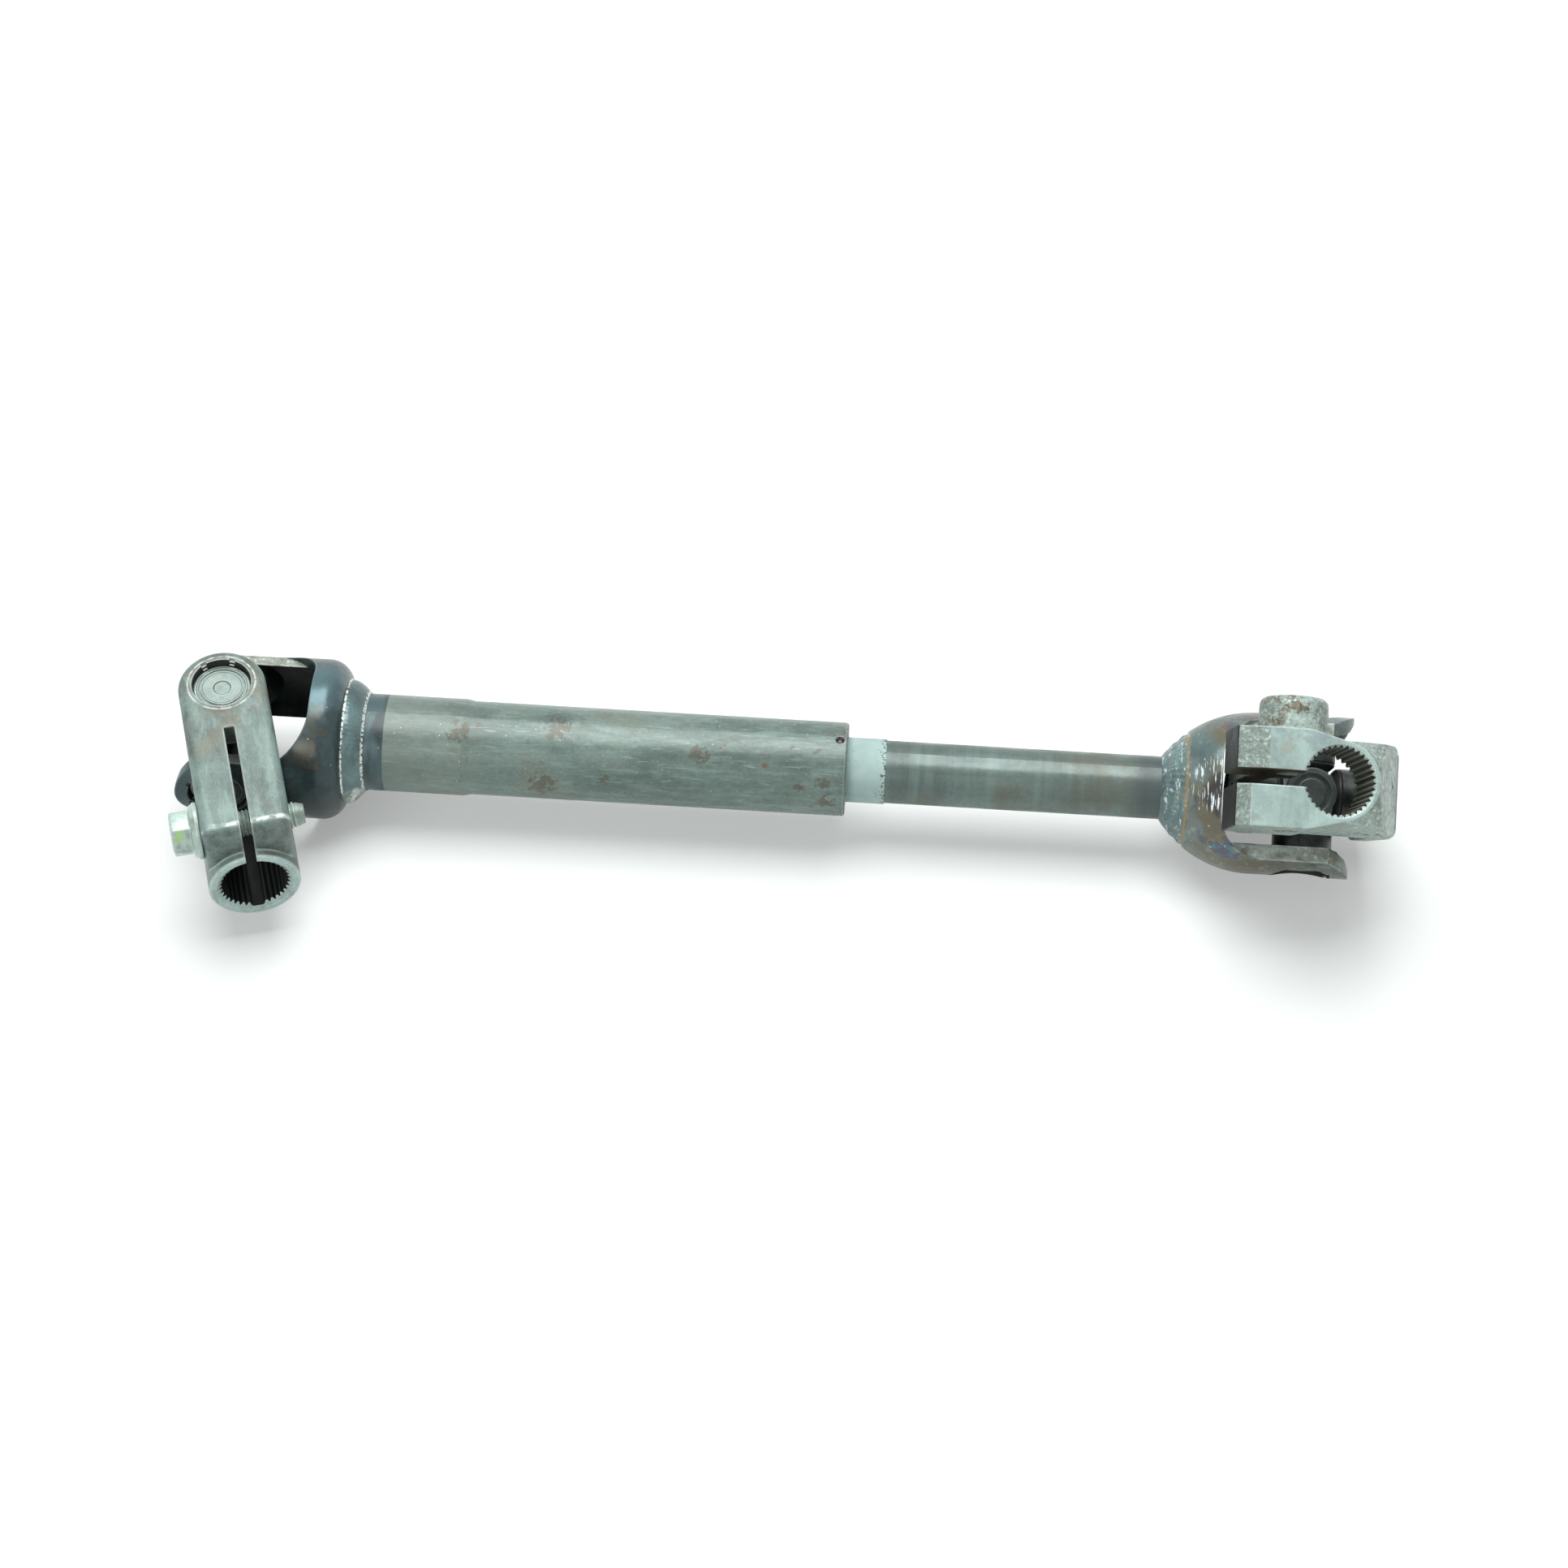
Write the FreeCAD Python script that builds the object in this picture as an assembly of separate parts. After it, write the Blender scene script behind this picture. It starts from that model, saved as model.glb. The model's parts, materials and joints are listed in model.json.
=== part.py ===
"""Steering intermediate shaft: a telescoping shaft with a universal joint at each end.

Units are millimetres. The shaft lies along X with the tube end at the left, Z is up,
and the finished part is moved so that its box stands on Z = 0 with its centre at X = Y = 0.
Each yoke and cross is modelled in its own frame, with the centre of its joint as origin,
and is then turned and moved to its place.
"""
import math
import os

import FreeCAD
import Part

Vector = FreeCAD.Vector

# Shaft: distances along it are measured from the centre of the left joint
JOINT_SPAN = 402.4
TUBE_END = 232.4
TUBE_RADIUS = 17.5
TUBE_SWELL_RADIUS = 18.1
TUBE_SWELL_LENGTH = 44.0
TUBE_SWELL_TAPER = 3.0
TUBE_EDGE = 0.7
SPLINE_TEETH = 20
SPLINE_MINOR_RADIUS = 12.35
SPLINE_DEPTH = 1.55
SPLINE_CLEARANCE = 0.08
SPLINE_LENGTH = 72.0
SPLINE_TO_TUBE_END = 28.0
SLIM_RADIUS = 11.7
COATING_THICKNESS = 0.4
COATING_SHOWING = 14.4
STAKE_RADIUS = 1.9
STAKE_DEPTH = 1.3
STAKE_TO_TUBE_END = 2.9
STAKE_FLOOR_RADIUS = 0.5
STAKE_NIB_RADIUS = 1.2
STAKE_NIB_ROOT = 0.5
TUBE_SPLINE_SHARE = 0.46
SHAFT_SPLINE_ROOT_SHARE = 0.5
SHAFT_SPLINE_CREST_SHARE = 0.38

# Bearings of both crosses
CUP_RADIUS = 11.0
CUP_FACE = 27.1
CUP_LENGTH = 14.7
CUP_FLOOR = 2.0
CUP_EDGE = 0.7
CUP_RING_RADIUS = 8.0
CUP_RING_WIDTH = 0.7
CUP_RING_DEPTH = 0.4
CUP_CENTRE_RADIUS = 3.4
TRUNNION_RADIUS = 7.0
TRUNNION_PLAY = 0.05
TRUNNION_EDGE = 0.7
NEEDLE_RADIUS = 1.23
NEEDLE_COUNT = 20
NEEDLE_LENGTH = 10.5
NEEDLE_CLEARANCE = 0.02
NEEDLE_END_GAP = 0.5
SEAL_RADIUS = 9.4
SEAL_THICKNESS = 2.8
SEAL_ROUNDING = 1.1
SEAL_GAP = 0.1
CROSS_ARM_RADIUS = 8.7
CROSS_HUB_RADIUS = 9.3
CROSS_HUB_HALF = 14.0
CROSS_DISH_RADIUS = 7.4
CROSS_DISH_DEPTH = 1.4
CROSS_BUTTON_RADIUS = 5.4
CROSS_BUTTON_HEIGHT = 0.8

# Tube yokes: both are bells with two ears, sized from the joint's centre
BELL_RADIUS = 30.0
EAR_HALF_WIDTH = 15.1
EAR_TIP_CHAMFER = 2.4
EAR_BOSS_FACE = 20.4
EAR_BOSS_RADIUS = 13.2
EAR_BOSS_FLARE = 0.6
BELL_FLOOR = 34.6
BELL_FLOOR_ROUNDING = 5.0
LEFT_NECK_END = 45.4
LEFT_NECK_RADIUS = 22.5
LEFT_SHOULDER_ROUNDING = 8.5
LEFT_SADDLE_DEPTH = 33.4
LEFT_SADDLE_ROUNDING = 16.4
LEFT_EAR_END_RADIUS = 15.9
LEFT_BELL_WALL = 3.6
LEFT_SPIGOT_RADIUS = 14.3
LEFT_SPIGOT_LENGTH = 9.0
SPIGOT_CLEARANCE = 0.05
LEFT_BEAD_LENGTH = 7.4
LEFT_BEAD_HEIGHT = 4.9
RIGHT_NECK_END = 43.8
RIGHT_NECK_RADIUS = 21.6
RIGHT_FLANK_START = 19.0
RIGHT_SADDLE_DEPTH = 32.4
RIGHT_SADDLE_ROUNDING = 16.6
RIGHT_EAR_END_RADIUS = 17.3
RIGHT_BELL_WALL = 4.8
RIGHT_SHAFT_INSET = 7.5
RIGHT_BEAD_LENGTH = 9.4
RIGHT_BEAD_HEIGHT = 9.3
BEAD_BULGE = 0.8

# The ears are staked over their cups in three places each
EAR_STAKE_SPREAD = 28.0
EAR_NOTCH_WIDTH = 2.3
EAR_NOTCH_DEPTH = 1.2
EAR_NOTCH_REACH = 12.1
EAR_NIB_WIDTH = 1.9
EAR_NIB_RADIUS = 10.3
EAR_NIB_HEIGHT = 0.7
EAR_NIB_GAP = 0.08

# Splined bores of the clamp yokes: a 36-tooth serration
SERRATION_TEETH = 36
SERRATION_ROOT_RADIUS = 13.05
SERRATION_CREST_RADIUS = 12.1
SERRATION_CREST_SHARE = 0.3
SERRATION_ROOT_SHARE = 0.12

# Clamp yoke on the left: long, with its slit in the upper arm
LEFT_YOKE_FACE = 30.0
LEFT_ARM_HALF_WIDTH = 16.3
LEFT_ARM_INNER = 20.1
LEFT_THROAT_RADIUS = 38.5
LEFT_BLOCK_END = 69.3
LEFT_HUB_END = 72.7
LEFT_HUB_RADIUS = 16.8
LEFT_HUB_EDGE = 0.6
LEFT_BELLY_START = 34.0
LEFT_BELLY_END = 60.0
LEFT_BELLY_ROUNDING = 3.0
LEFT_ARM_ROUNDING = 3.6
LEFT_NOSE_ROUNDING = 4.5
LEFT_SLIT_WIDTH = 3.9
LEFT_SLIT_START = 21.4
LEFT_MOUTH_RADIUS = 14.2
LEFT_MOUTH_DEPTH = 1.6
LEFT_SAW_MARK = 0.1

# Clamp bolt, M10 with a flange, fitted on the left only
BOLT_RADIUS = 5.0
BOLT_UP = 57.0
BOLT_OFFSET = 17.4
BOLT_LENGTH = 38.0
BOLT_POINT_RADIUS = 3.9
BOLT_POINT_LENGTH = 2.8
BOLT_HOLE_CLEARANCE = 0.3
FLANGE_RADIUS = 10.5
FLANGE_RIM = 1.6
FLANGE_HEIGHT = 3.7
HEX_FLATS = 15.0
HEX_HEIGHT = 6.6
HEX_CHAMFER = 0.9

# Clamp yoke on the right: short, with lugs, a bolt boss and no bolt
RIGHT_YOKE_FACE = 28.0
RIGHT_EYE_RADIUS = 15.1
RIGHT_ARM_HALF_WIDTH = 17.0
RIGHT_ARM_WIDEST = 30.0
RIGHT_ARM_INNER = 19.0
RIGHT_THROAT_END = 29.5
RIGHT_THROAT_ROUNDING = 7.0
RIGHT_HUB_END = 58.6
RIGHT_HUB_RADIUS = 14.6
RIGHT_HUB_FLARE = 1.2
RIGHT_ARM_SLOPE = 0.45
RIGHT_ARM_ROUNDING = 4.0
RIGHT_LUG_REACH = 36.8
RIGHT_LUG_HALF_WIDTH = 18.0
RIGHT_LUG_HEIGHT = 28.0
RIGHT_LUG_SLOPE_UPPER = 11.0
RIGHT_LUG_SLOPE_LOWER = 5.0
RIGHT_LUG_TAPER_START = 11.0
RIGHT_LUG_SLOPE_DROP = 3.5
RIGHT_LUG_ROUNDING = 2.4
RIGHT_SLIT_WIDTH = 5.8
RIGHT_MOUTH_RADIUS = 13.3
RIGHT_MOUTH_DEPTH = 0.8
RIGHT_BOLT_UP = 44.5
RIGHT_BOLT_OFFSET = 14.9
RIGHT_BOSS_RADIUS = 13.4
RIGHT_BOSS_TAPER = 1.1
RIGHT_BOSS_REACH = 30.3
RIGHT_BOSS_ROUNDING = 3.0

# How the joints stand
LEFT_FOLD = 106.3
RIGHT_FOLD = 96.5
RIGHT_ROLL = 32.2

# Worked out from the sizes above
NEEDLE_PITCH_RADIUS = TRUNNION_RADIUS + NEEDLE_CLEARANCE + NEEDLE_RADIUS
CUP_BORE_RADIUS = NEEDLE_PITCH_RADIUS + NEEDLE_RADIUS + NEEDLE_CLEARANCE
CUP_OPEN_END = CUP_FACE - CUP_LENGTH
TRUNNION_END = CUP_FACE - CUP_FLOOR - TRUNNION_PLAY
SEAL_END = CUP_OPEN_END - SEAL_GAP
SEAL_START = SEAL_END - SEAL_THICKNESS
SPLINE_MAJOR_RADIUS = SPLINE_MINOR_RADIUS + SPLINE_DEPTH
COATING_RADIUS = SLIM_RADIUS + COATING_THICKNESS
COATING_END = TUBE_END + COATING_SHOWING
SPLINE_END = TUBE_END - SPLINE_TO_TUBE_END
SPLINE_START = SPLINE_END - SPLINE_LENGTH

# Helpers for the cutters: how far they pass the part, how far they pass one face, and
# how close two lengths must be to count as the same
CUT_MARGIN = 60.0
OVERCUT = 1.0
NEAR = 1e-6


def polygon_face(points):
    """A flat face inside straight edges."""
    wire = Part.makePolygon(list(points) + [points[0]])
    return Part.Face(wire)


def turned(profile):
    """A solid of revolution about X, from (along, radius) points."""
    face = polygon_face([Vector(along, 0, radius) for along, radius in profile])
    return face.revolve(Vector(), Vector(1, 0, 0), 360)


def rod(radius, start, end, axis=Vector(1, 0, 0), centre=Vector()):
    """A cylinder from start to end along an axis through a centre."""
    return Part.makeCylinder(radius, end - start, centre + axis * start, axis)


def block(low, high):
    """A box between two corners."""
    return Part.makeBox(high[0] - low[0], high[1] - low[1], high[2] - low[2], Vector(*low))


def toothed_prism(teeth, inner, outer, inner_share, outer_share, start, end):
    """A prism along X whose section steps between two radii, as splines do.

    The shares are the parts of each pitch that lie on the inner and on the outer radius.
    """
    pitch = 2 * math.pi / teeth
    edges = []
    first = None
    last = None

    def at(radius, angle):
        return Vector(start, radius * math.sin(angle), radius * math.cos(angle))

    for tooth in range(teeth):
        middle = tooth * pitch
        for radius, share, centre in ((outer, outer_share, middle),
                                      (inner, inner_share, middle + pitch / 2)):
            half = share * pitch / 2
            begin = at(radius, centre - half)
            finish = at(radius, centre + half)
            if last is None:
                first = begin
            else:
                edges.append(Part.makeLine(last, begin))
            edges.append(Part.Arc(begin, at(radius, centre), finish).toShape())
            last = finish
    edges.append(Part.makeLine(last, first))
    return Part.Face(Part.Wire(edges)).extrude(Vector(end - start, 0, 0))


def joined(first, *others):
    """One clean solid from pieces that meet."""
    return first.fuse(list(others)).removeSplitter().Solids[0]


def trimmed(shape, *cutters):
    """The shape with each cutter taken away."""
    return shape.cut(list(cutters)).removeSplitter().Solids[0]


def edges_at_height(shape, height):
    """The edges that lie in the two planes z = height and z = -height."""
    found = []
    for edge in shape.Edges:
        box = edge.BoundBox
        if box.ZLength < NEAR and abs(abs(box.ZMin) - height) < NEAR:
            found.append(edge)
    return found


def bell_outline_left():
    """The left bell's outside: straight, then a tight shoulder down to the neck."""
    centre_x = LEFT_NECK_END - LEFT_SHOULDER_ROUNDING
    centre_r = BELL_RADIUS - LEFT_SHOULDER_ROUNDING
    start = -BELL_RADIUS
    turn = math.acos((LEFT_NECK_RADIUS - centre_r) / LEFT_SHOULDER_ROUNDING)
    top = Vector(centre_x, 0, BELL_RADIUS)
    middle = Vector(centre_x + LEFT_SHOULDER_ROUNDING * math.sin(turn / 2), 0,
                    centre_r + LEFT_SHOULDER_ROUNDING * math.cos(turn / 2))
    foot = Vector(centre_x + LEFT_SHOULDER_ROUNDING * math.sin(turn), 0, LEFT_NECK_RADIUS)
    return bell_solid(start, top, middle, foot, LEFT_NECK_END)


def bell_outline_right():
    """The right bell's outside: a long flank that falls in one even curve to the neck."""
    run = RIGHT_NECK_END - RIGHT_FLANK_START
    drop = BELL_RADIUS - RIGHT_NECK_RADIUS
    flank = (run ** 2 + drop ** 2) / (2 * drop)
    turn = math.asin(run / flank)
    top = Vector(RIGHT_FLANK_START, 0, BELL_RADIUS)
    middle = Vector(RIGHT_FLANK_START + flank * math.sin(turn / 2), 0,
                    BELL_RADIUS - flank * (1 - math.cos(turn / 2)))
    foot = Vector(RIGHT_NECK_END, 0, RIGHT_NECK_RADIUS)
    return bell_solid(-BELL_RADIUS, top, middle, foot, RIGHT_NECK_END)


def bell_solid(start, top, middle, foot, neck_end):
    """Turns a bell's outline, with an arc from top through middle to foot."""
    edges = [Part.makeLine(Vector(start, 0, 0), Vector(start, 0, BELL_RADIUS)),
             Part.makeLine(Vector(start, 0, BELL_RADIUS), top),
             Part.Arc(top, middle, foot).toShape()]
    corner = Vector(neck_end, 0, foot.z)
    if corner.distanceToPoint(foot) > NEAR:
        edges.append(Part.makeLine(foot, corner))
    edges.append(Part.makeLine(corner, Vector(neck_end, 0, 0)))
    edges.append(Part.makeLine(Vector(neck_end, 0, 0), Vector(start, 0, 0)))
    face = Part.Face(Part.Wire(edges))
    return face.revolve(Vector(), Vector(1, 0, 0), 360)


def bell_cavity(radius):
    """The hollow of a bell: round, with a rounded floor and a boss round each cup."""
    hollow = rod(radius, -CUT_MARGIN, BELL_FLOOR)
    floor_edges = [edge for edge in hollow.Edges
                   if edge.BoundBox.XLength < NEAR and edge.BoundBox.XMin > 0]
    hollow = hollow.makeFillet(BELL_FLOOR_ROUNDING, floor_edges)
    height = BELL_RADIUS - EAR_BOSS_FACE
    foot = EAR_BOSS_RADIUS + EAR_BOSS_FLARE * height
    bosses = [Part.makeCone(EAR_BOSS_RADIUS, foot, height, Vector(0, 0, sign * EAR_BOSS_FACE),
                            Vector(0, 0, sign)) for sign in (1, -1)]
    return hollow.cut(bosses)


def saddle_cutter(side, depth, rounding):
    """What is milled away on one side between the ears: a slot with round inner corners."""
    edge = math.sqrt(BELL_RADIUS ** 2 - EAR_HALF_WIDTH ** 2)
    diagonal = rounding * math.sqrt(0.5)
    turn_x = depth - rounding
    turn_z = edge - rounding
    floor = side * EAR_HALF_WIDTH
    points = [Vector(turn_x, floor, edge), Vector(turn_x + diagonal, floor, turn_z + diagonal),
              Vector(depth, floor, turn_z)]
    mirrored = [Vector(point.x, point.y, -point.z) for point in reversed(points)]
    outer = [Vector(turn_x, floor, -CUT_MARGIN), Vector(-CUT_MARGIN, floor, -CUT_MARGIN),
             Vector(-CUT_MARGIN, floor, CUT_MARGIN), Vector(turn_x, floor, CUT_MARGIN)]
    edges = [Part.Arc(*points).toShape(), Part.makeLine(points[2], mirrored[0]),
             Part.Arc(*mirrored).toShape(), Part.makeLine(mirrored[2], outer[0])]
    edges += [Part.makeLine(outer[index], outer[index + 1]) for index in range(3)]
    edges.append(Part.makeLine(outer[3], points[0]))
    return Part.Face(Part.Wire(edges)).extrude(Vector(0, side * CUT_MARGIN, 0))


def eye_end_cutter(radius):
    """Rounds the ears' ends about the bearing axis."""
    reach = CUT_MARGIN
    waste = block((-reach, -reach, -reach), (0, reach, reach))
    return waste.cut(rod(radius, -reach - OVERCUT, reach + OVERCUT, Vector(0, 0, 1)))


def staked_eyes(yoke, face):
    """The yoke with its two cup bores along Z, notched and staked over the cups."""
    cups = rod(CUP_RADIUS, -CUT_MARGIN, CUT_MARGIN, Vector(0, 0, 1))
    notches = []
    nibs = []
    low = CUP_FACE + EAR_NIB_GAP
    for angle in (0, 180 - EAR_STAKE_SPREAD, 180 + EAR_STAKE_SPREAD):
        notch = block((EAR_NIB_RADIUS, -EAR_NOTCH_WIDTH / 2, face - EAR_NOTCH_DEPTH),
                      (EAR_NOTCH_REACH, EAR_NOTCH_WIDTH / 2, face + OVERCUT))
        nib = block((EAR_NIB_RADIUS, -EAR_NIB_WIDTH / 2, low),
                    (EAR_NOTCH_REACH, EAR_NIB_WIDTH / 2, low + EAR_NIB_HEIGHT))
        for shape, group in ((notch, notches), (nib, nibs)):
            shape.rotate(Vector(), Vector(0, 0, 1), angle)
            group.extend([shape, shape.mirror(Vector(), Vector(0, 0, 1))])
    return joined(trimmed(yoke, cups, *notches), *nibs)


def tube_yoke(outline, wall, end_radius, saddle_depth, saddle_rounding):
    """A bell-shaped yoke: X runs to the shaft, Z through the bearing cups."""
    cavity_radius = BELL_RADIUS - wall
    depth = EAR_TIP_CHAMFER + OVERCUT
    mouth = Part.makeCone(cavity_radius, cavity_radius + depth, depth,
                          Vector(EAR_TIP_CHAMFER - end_radius, 0, 0), Vector(-1, 0, 0))
    bell = trimmed(outline, bell_cavity(cavity_radius), mouth,
                   saddle_cutter(1, saddle_depth, saddle_rounding),
                   saddle_cutter(-1, saddle_depth, saddle_rounding), eye_end_cutter(end_radius))
    return staked_eyes(bell, BELL_RADIUS)


def left_tube_yoke():
    """The bell with a spigot that fits the outer tube."""
    spigot = rod(LEFT_SPIGOT_RADIUS, LEFT_NECK_END - OVERCUT, LEFT_NECK_END + LEFT_SPIGOT_LENGTH)
    bell = tube_yoke(bell_outline_left(), LEFT_BELL_WALL, LEFT_EAR_END_RADIUS,
                     LEFT_SADDLE_DEPTH, LEFT_SADDLE_ROUNDING)
    return joined(bell, spigot)


def right_tube_yoke():
    """The bell with a socket that takes the slim shaft."""
    socket = rod(SLIM_RADIUS, RIGHT_NECK_END - RIGHT_SHAFT_INSET, CUT_MARGIN)
    bell = tube_yoke(bell_outline_right(), RIGHT_BELL_WALL, RIGHT_EAR_END_RADIUS,
                     RIGHT_SADDLE_DEPTH, RIGHT_SADDLE_ROUNDING)
    return trimmed(bell, socket)


def weld_bead(foot_radius, neck_end, length, height):
    """A fillet weld between a neck's end face and the round that goes into it."""
    low = Vector(neck_end, 0, foot_radius)
    out = Vector(neck_end + length, 0, foot_radius)
    up = Vector(neck_end, 0, foot_radius + height)
    slope = (out - up).normalize()
    outward = Vector(-slope.z, 0, slope.x)
    crown = (out + up) * 0.5 + outward * BEAD_BULGE
    edges = [Part.makeLine(low, out), Part.Arc(out, crown, up).toShape(), Part.makeLine(up, low)]
    return Part.Face(Part.Wire(edges)).revolve(Vector(), Vector(1, 0, 0), 360)


def outer_tube():
    """The tube, swollen where it is welded, splined inside and staked at its mouth."""
    start = LEFT_NECK_END
    swell_end = start + TUBE_SWELL_LENGTH
    skin = turned([(start, 0), (start, TUBE_SWELL_RADIUS), (swell_end, TUBE_SWELL_RADIUS),
                   (swell_end + TUBE_SWELL_TAPER, TUBE_RADIUS), (TUBE_END - TUBE_EDGE, TUBE_RADIUS),
                   (TUBE_END, TUBE_RADIUS - TUBE_EDGE), (TUBE_END, 0)])
    bore = toothed_prism(SPLINE_TEETH, SPLINE_MINOR_RADIUS, SPLINE_MAJOR_RADIUS,
                         TUBE_SPLINE_SHARE, TUBE_SPLINE_SHARE, start - OVERCUT,
                         TUBE_END + OVERCUT)
    seat = rod(LEFT_SPIGOT_RADIUS + SPIGOT_CLEARANCE, start - OVERCUT,
               start + LEFT_SPIGOT_LENGTH)
    stake_x = TUBE_END - STAKE_TO_TUBE_END
    dimple = Part.makeCone(STAKE_RADIUS, STAKE_FLOOR_RADIUS, STAKE_DEPTH,
                           Vector(stake_x, 0, TUBE_RADIUS), Vector(0, 0, -1))
    brim = rod(STAKE_RADIUS, 0, OVERCUT, Vector(0, 0, 1), Vector(stake_x, 0, TUBE_RADIUS))
    nib = rod(STAKE_NIB_RADIUS, SPLINE_MINOR_RADIUS + SPLINE_CLEARANCE,
              SPLINE_MAJOR_RADIUS + STAKE_NIB_ROOT, Vector(0, 0, 1), Vector(stake_x, 0, 0))
    return joined(trimmed(skin, bore, seat, dimple, brim), nib)


def male_spline(allowance, start, end):
    """The splined length that slides in the tube, drawn in by an allowance."""
    return toothed_prism(SPLINE_TEETH, SPLINE_MINOR_RADIUS - allowance,
                         SPLINE_MAJOR_RADIUS - allowance, SHAFT_SPLINE_ROOT_SHARE,
                         SHAFT_SPLINE_CREST_SHARE, start, end)


def inner_shaft():
    """The slim shaft with the bare steel of its splined end."""
    bare = SPLINE_CLEARANCE + COATING_THICKNESS
    rod_end = JOINT_SPAN - RIGHT_NECK_END + RIGHT_SHAFT_INSET
    slim = rod(SLIM_RADIUS, SPLINE_START, rod_end)
    return joined(slim, male_spline(bare, SPLINE_START, SPLINE_END))


def nylon_coating():
    """The white skin over the splines and a short way along the plain shaft."""
    skin = joined(male_spline(SPLINE_CLEARANCE, SPLINE_START, SPLINE_END),
                  rod(COATING_RADIUS, SPLINE_START, COATING_END))
    bare = SPLINE_CLEARANCE + COATING_THICKNESS
    return trimmed(skin, male_spline(bare, SPLINE_START - OVERCUT, SPLINE_END),
                   rod(SLIM_RADIUS, SPLINE_START - OVERCUT, COATING_END + OVERCUT))


def bearing_cup():
    """A cup along X, open towards the cross, with a ring and a dimple in its face."""
    ring_in = CUP_RING_RADIUS
    ring_out = CUP_RING_RADIUS + CUP_RING_WIDTH
    sunk = CUP_FACE - CUP_RING_DEPTH
    floor = CUP_FACE - CUP_FLOOR
    return turned([(CUP_OPEN_END, CUP_BORE_RADIUS), (CUP_OPEN_END, CUP_RADIUS),
                   (CUP_FACE - CUP_EDGE, CUP_RADIUS), (CUP_FACE, CUP_RADIUS - CUP_EDGE),
                   (CUP_FACE, ring_out), (sunk, ring_out), (sunk, ring_in), (CUP_FACE, ring_in),
                   (CUP_FACE, CUP_CENTRE_RADIUS), (sunk, CUP_CENTRE_RADIUS - CUP_RING_DEPTH),
                   (sunk, 0), (floor, 0), (floor, CUP_BORE_RADIUS)])


def needle_rollers():
    """One cup's rollers, in a full ring round the trunnion."""
    end = TRUNNION_END - NEEDLE_END_GAP
    rollers = []
    for index in range(NEEDLE_COUNT):
        angle = 2 * math.pi * index / NEEDLE_COUNT
        centre = Vector(0, NEEDLE_PITCH_RADIUS * math.cos(angle),
                        NEEDLE_PITCH_RADIUS * math.sin(angle))
        rollers.append(rod(NEEDLE_RADIUS, end - NEEDLE_LENGTH, end, centre=centre))
    return Part.makeCompound(rollers)


def rubber_seal():
    """A ring along X between the cross's shoulder and the cup's open end."""
    ring = rod(SEAL_RADIUS, SEAL_START, SEAL_END).cut(rod(TRUNNION_RADIUS, 0, CUP_FACE))
    rims = [edge for edge in ring.Edges
            if edge.BoundBox.XLength < NEAR and edge.BoundBox.YLength > SEAL_RADIUS + TRUNNION_RADIUS]
    return ring.makeFillet(SEAL_ROUNDING, rims)


def cross():
    """The forged cross: trunnions along Y and Z, and a dished hub along X."""
    arms = []
    for axis in (Vector(0, 1, 0), Vector(0, 0, 1)):
        arms.append(rod(CROSS_ARM_RADIUS, -SEAL_START, SEAL_START, axis))
        for sign in (1, -1):
            out = axis * sign
            trunnion = rod(TRUNNION_RADIUS, 0, TRUNNION_END - TRUNNION_EDGE, out)
            tip = Part.makeCone(TRUNNION_RADIUS, TRUNNION_RADIUS - TRUNNION_EDGE, TRUNNION_EDGE,
                                out * (TRUNNION_END - TRUNNION_EDGE), out)
            arms.extend([trunnion, tip])
    hub = rod(CROSS_HUB_RADIUS, -CROSS_HUB_HALF, CROSS_HUB_HALF)
    body = joined(hub, *arms)
    floor = CROSS_HUB_HALF - CROSS_DISH_DEPTH
    for sign in (1, -1):
        out = Vector(sign, 0, 0)
        dish = rod(CROSS_DISH_RADIUS, floor, CROSS_HUB_HALF + OVERCUT, out)
        button = rod(CROSS_BUTTON_RADIUS, floor - OVERCUT, floor + CROSS_BUTTON_HEIGHT, out)
        body = joined(trimmed(body, dish), button)
    return body


def serrated_bore(start, end):
    """The cutter for a clamp yoke's bore: 36 teeth with flat crests."""
    return toothed_prism(SERRATION_TEETH, SERRATION_CREST_RADIUS, SERRATION_ROOT_RADIUS,
                         SERRATION_CREST_SHARE, SERRATION_ROOT_SHARE, start, end)


def mouth_chamfer(radius, depth, face):
    """The cutter that eases a bore's mouth."""
    slope = (radius - SERRATION_CREST_RADIUS) / depth
    return Part.makeCone(SERRATION_CREST_RADIUS, radius + slope * OVERCUT, depth + OVERCUT,
                         Vector(face - depth, 0, 0), Vector(1, 0, 0))


def arm_block(eye_radius, face, *corners):
    """Both arms as one bar before its throat is cut: an eye, then a flank through corners."""
    arc = Part.Arc(Vector(0, -eye_radius, -face), Vector(-eye_radius, 0, -face),
                   Vector(0, eye_radius, -face)).toShape()
    flank = [Vector(0, eye_radius, -face)] + [Vector(up, wide, -face) for up, wide in corners]
    flank += [Vector(point.x, -point.y, point.z) for point in reversed(flank)]
    edges = [Part.makeLine(*pair) for pair in zip(flank, flank[1:])]
    return Part.Face(Part.Wire([arc] + edges)).extrude(Vector(0, 0, 2 * face))


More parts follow.
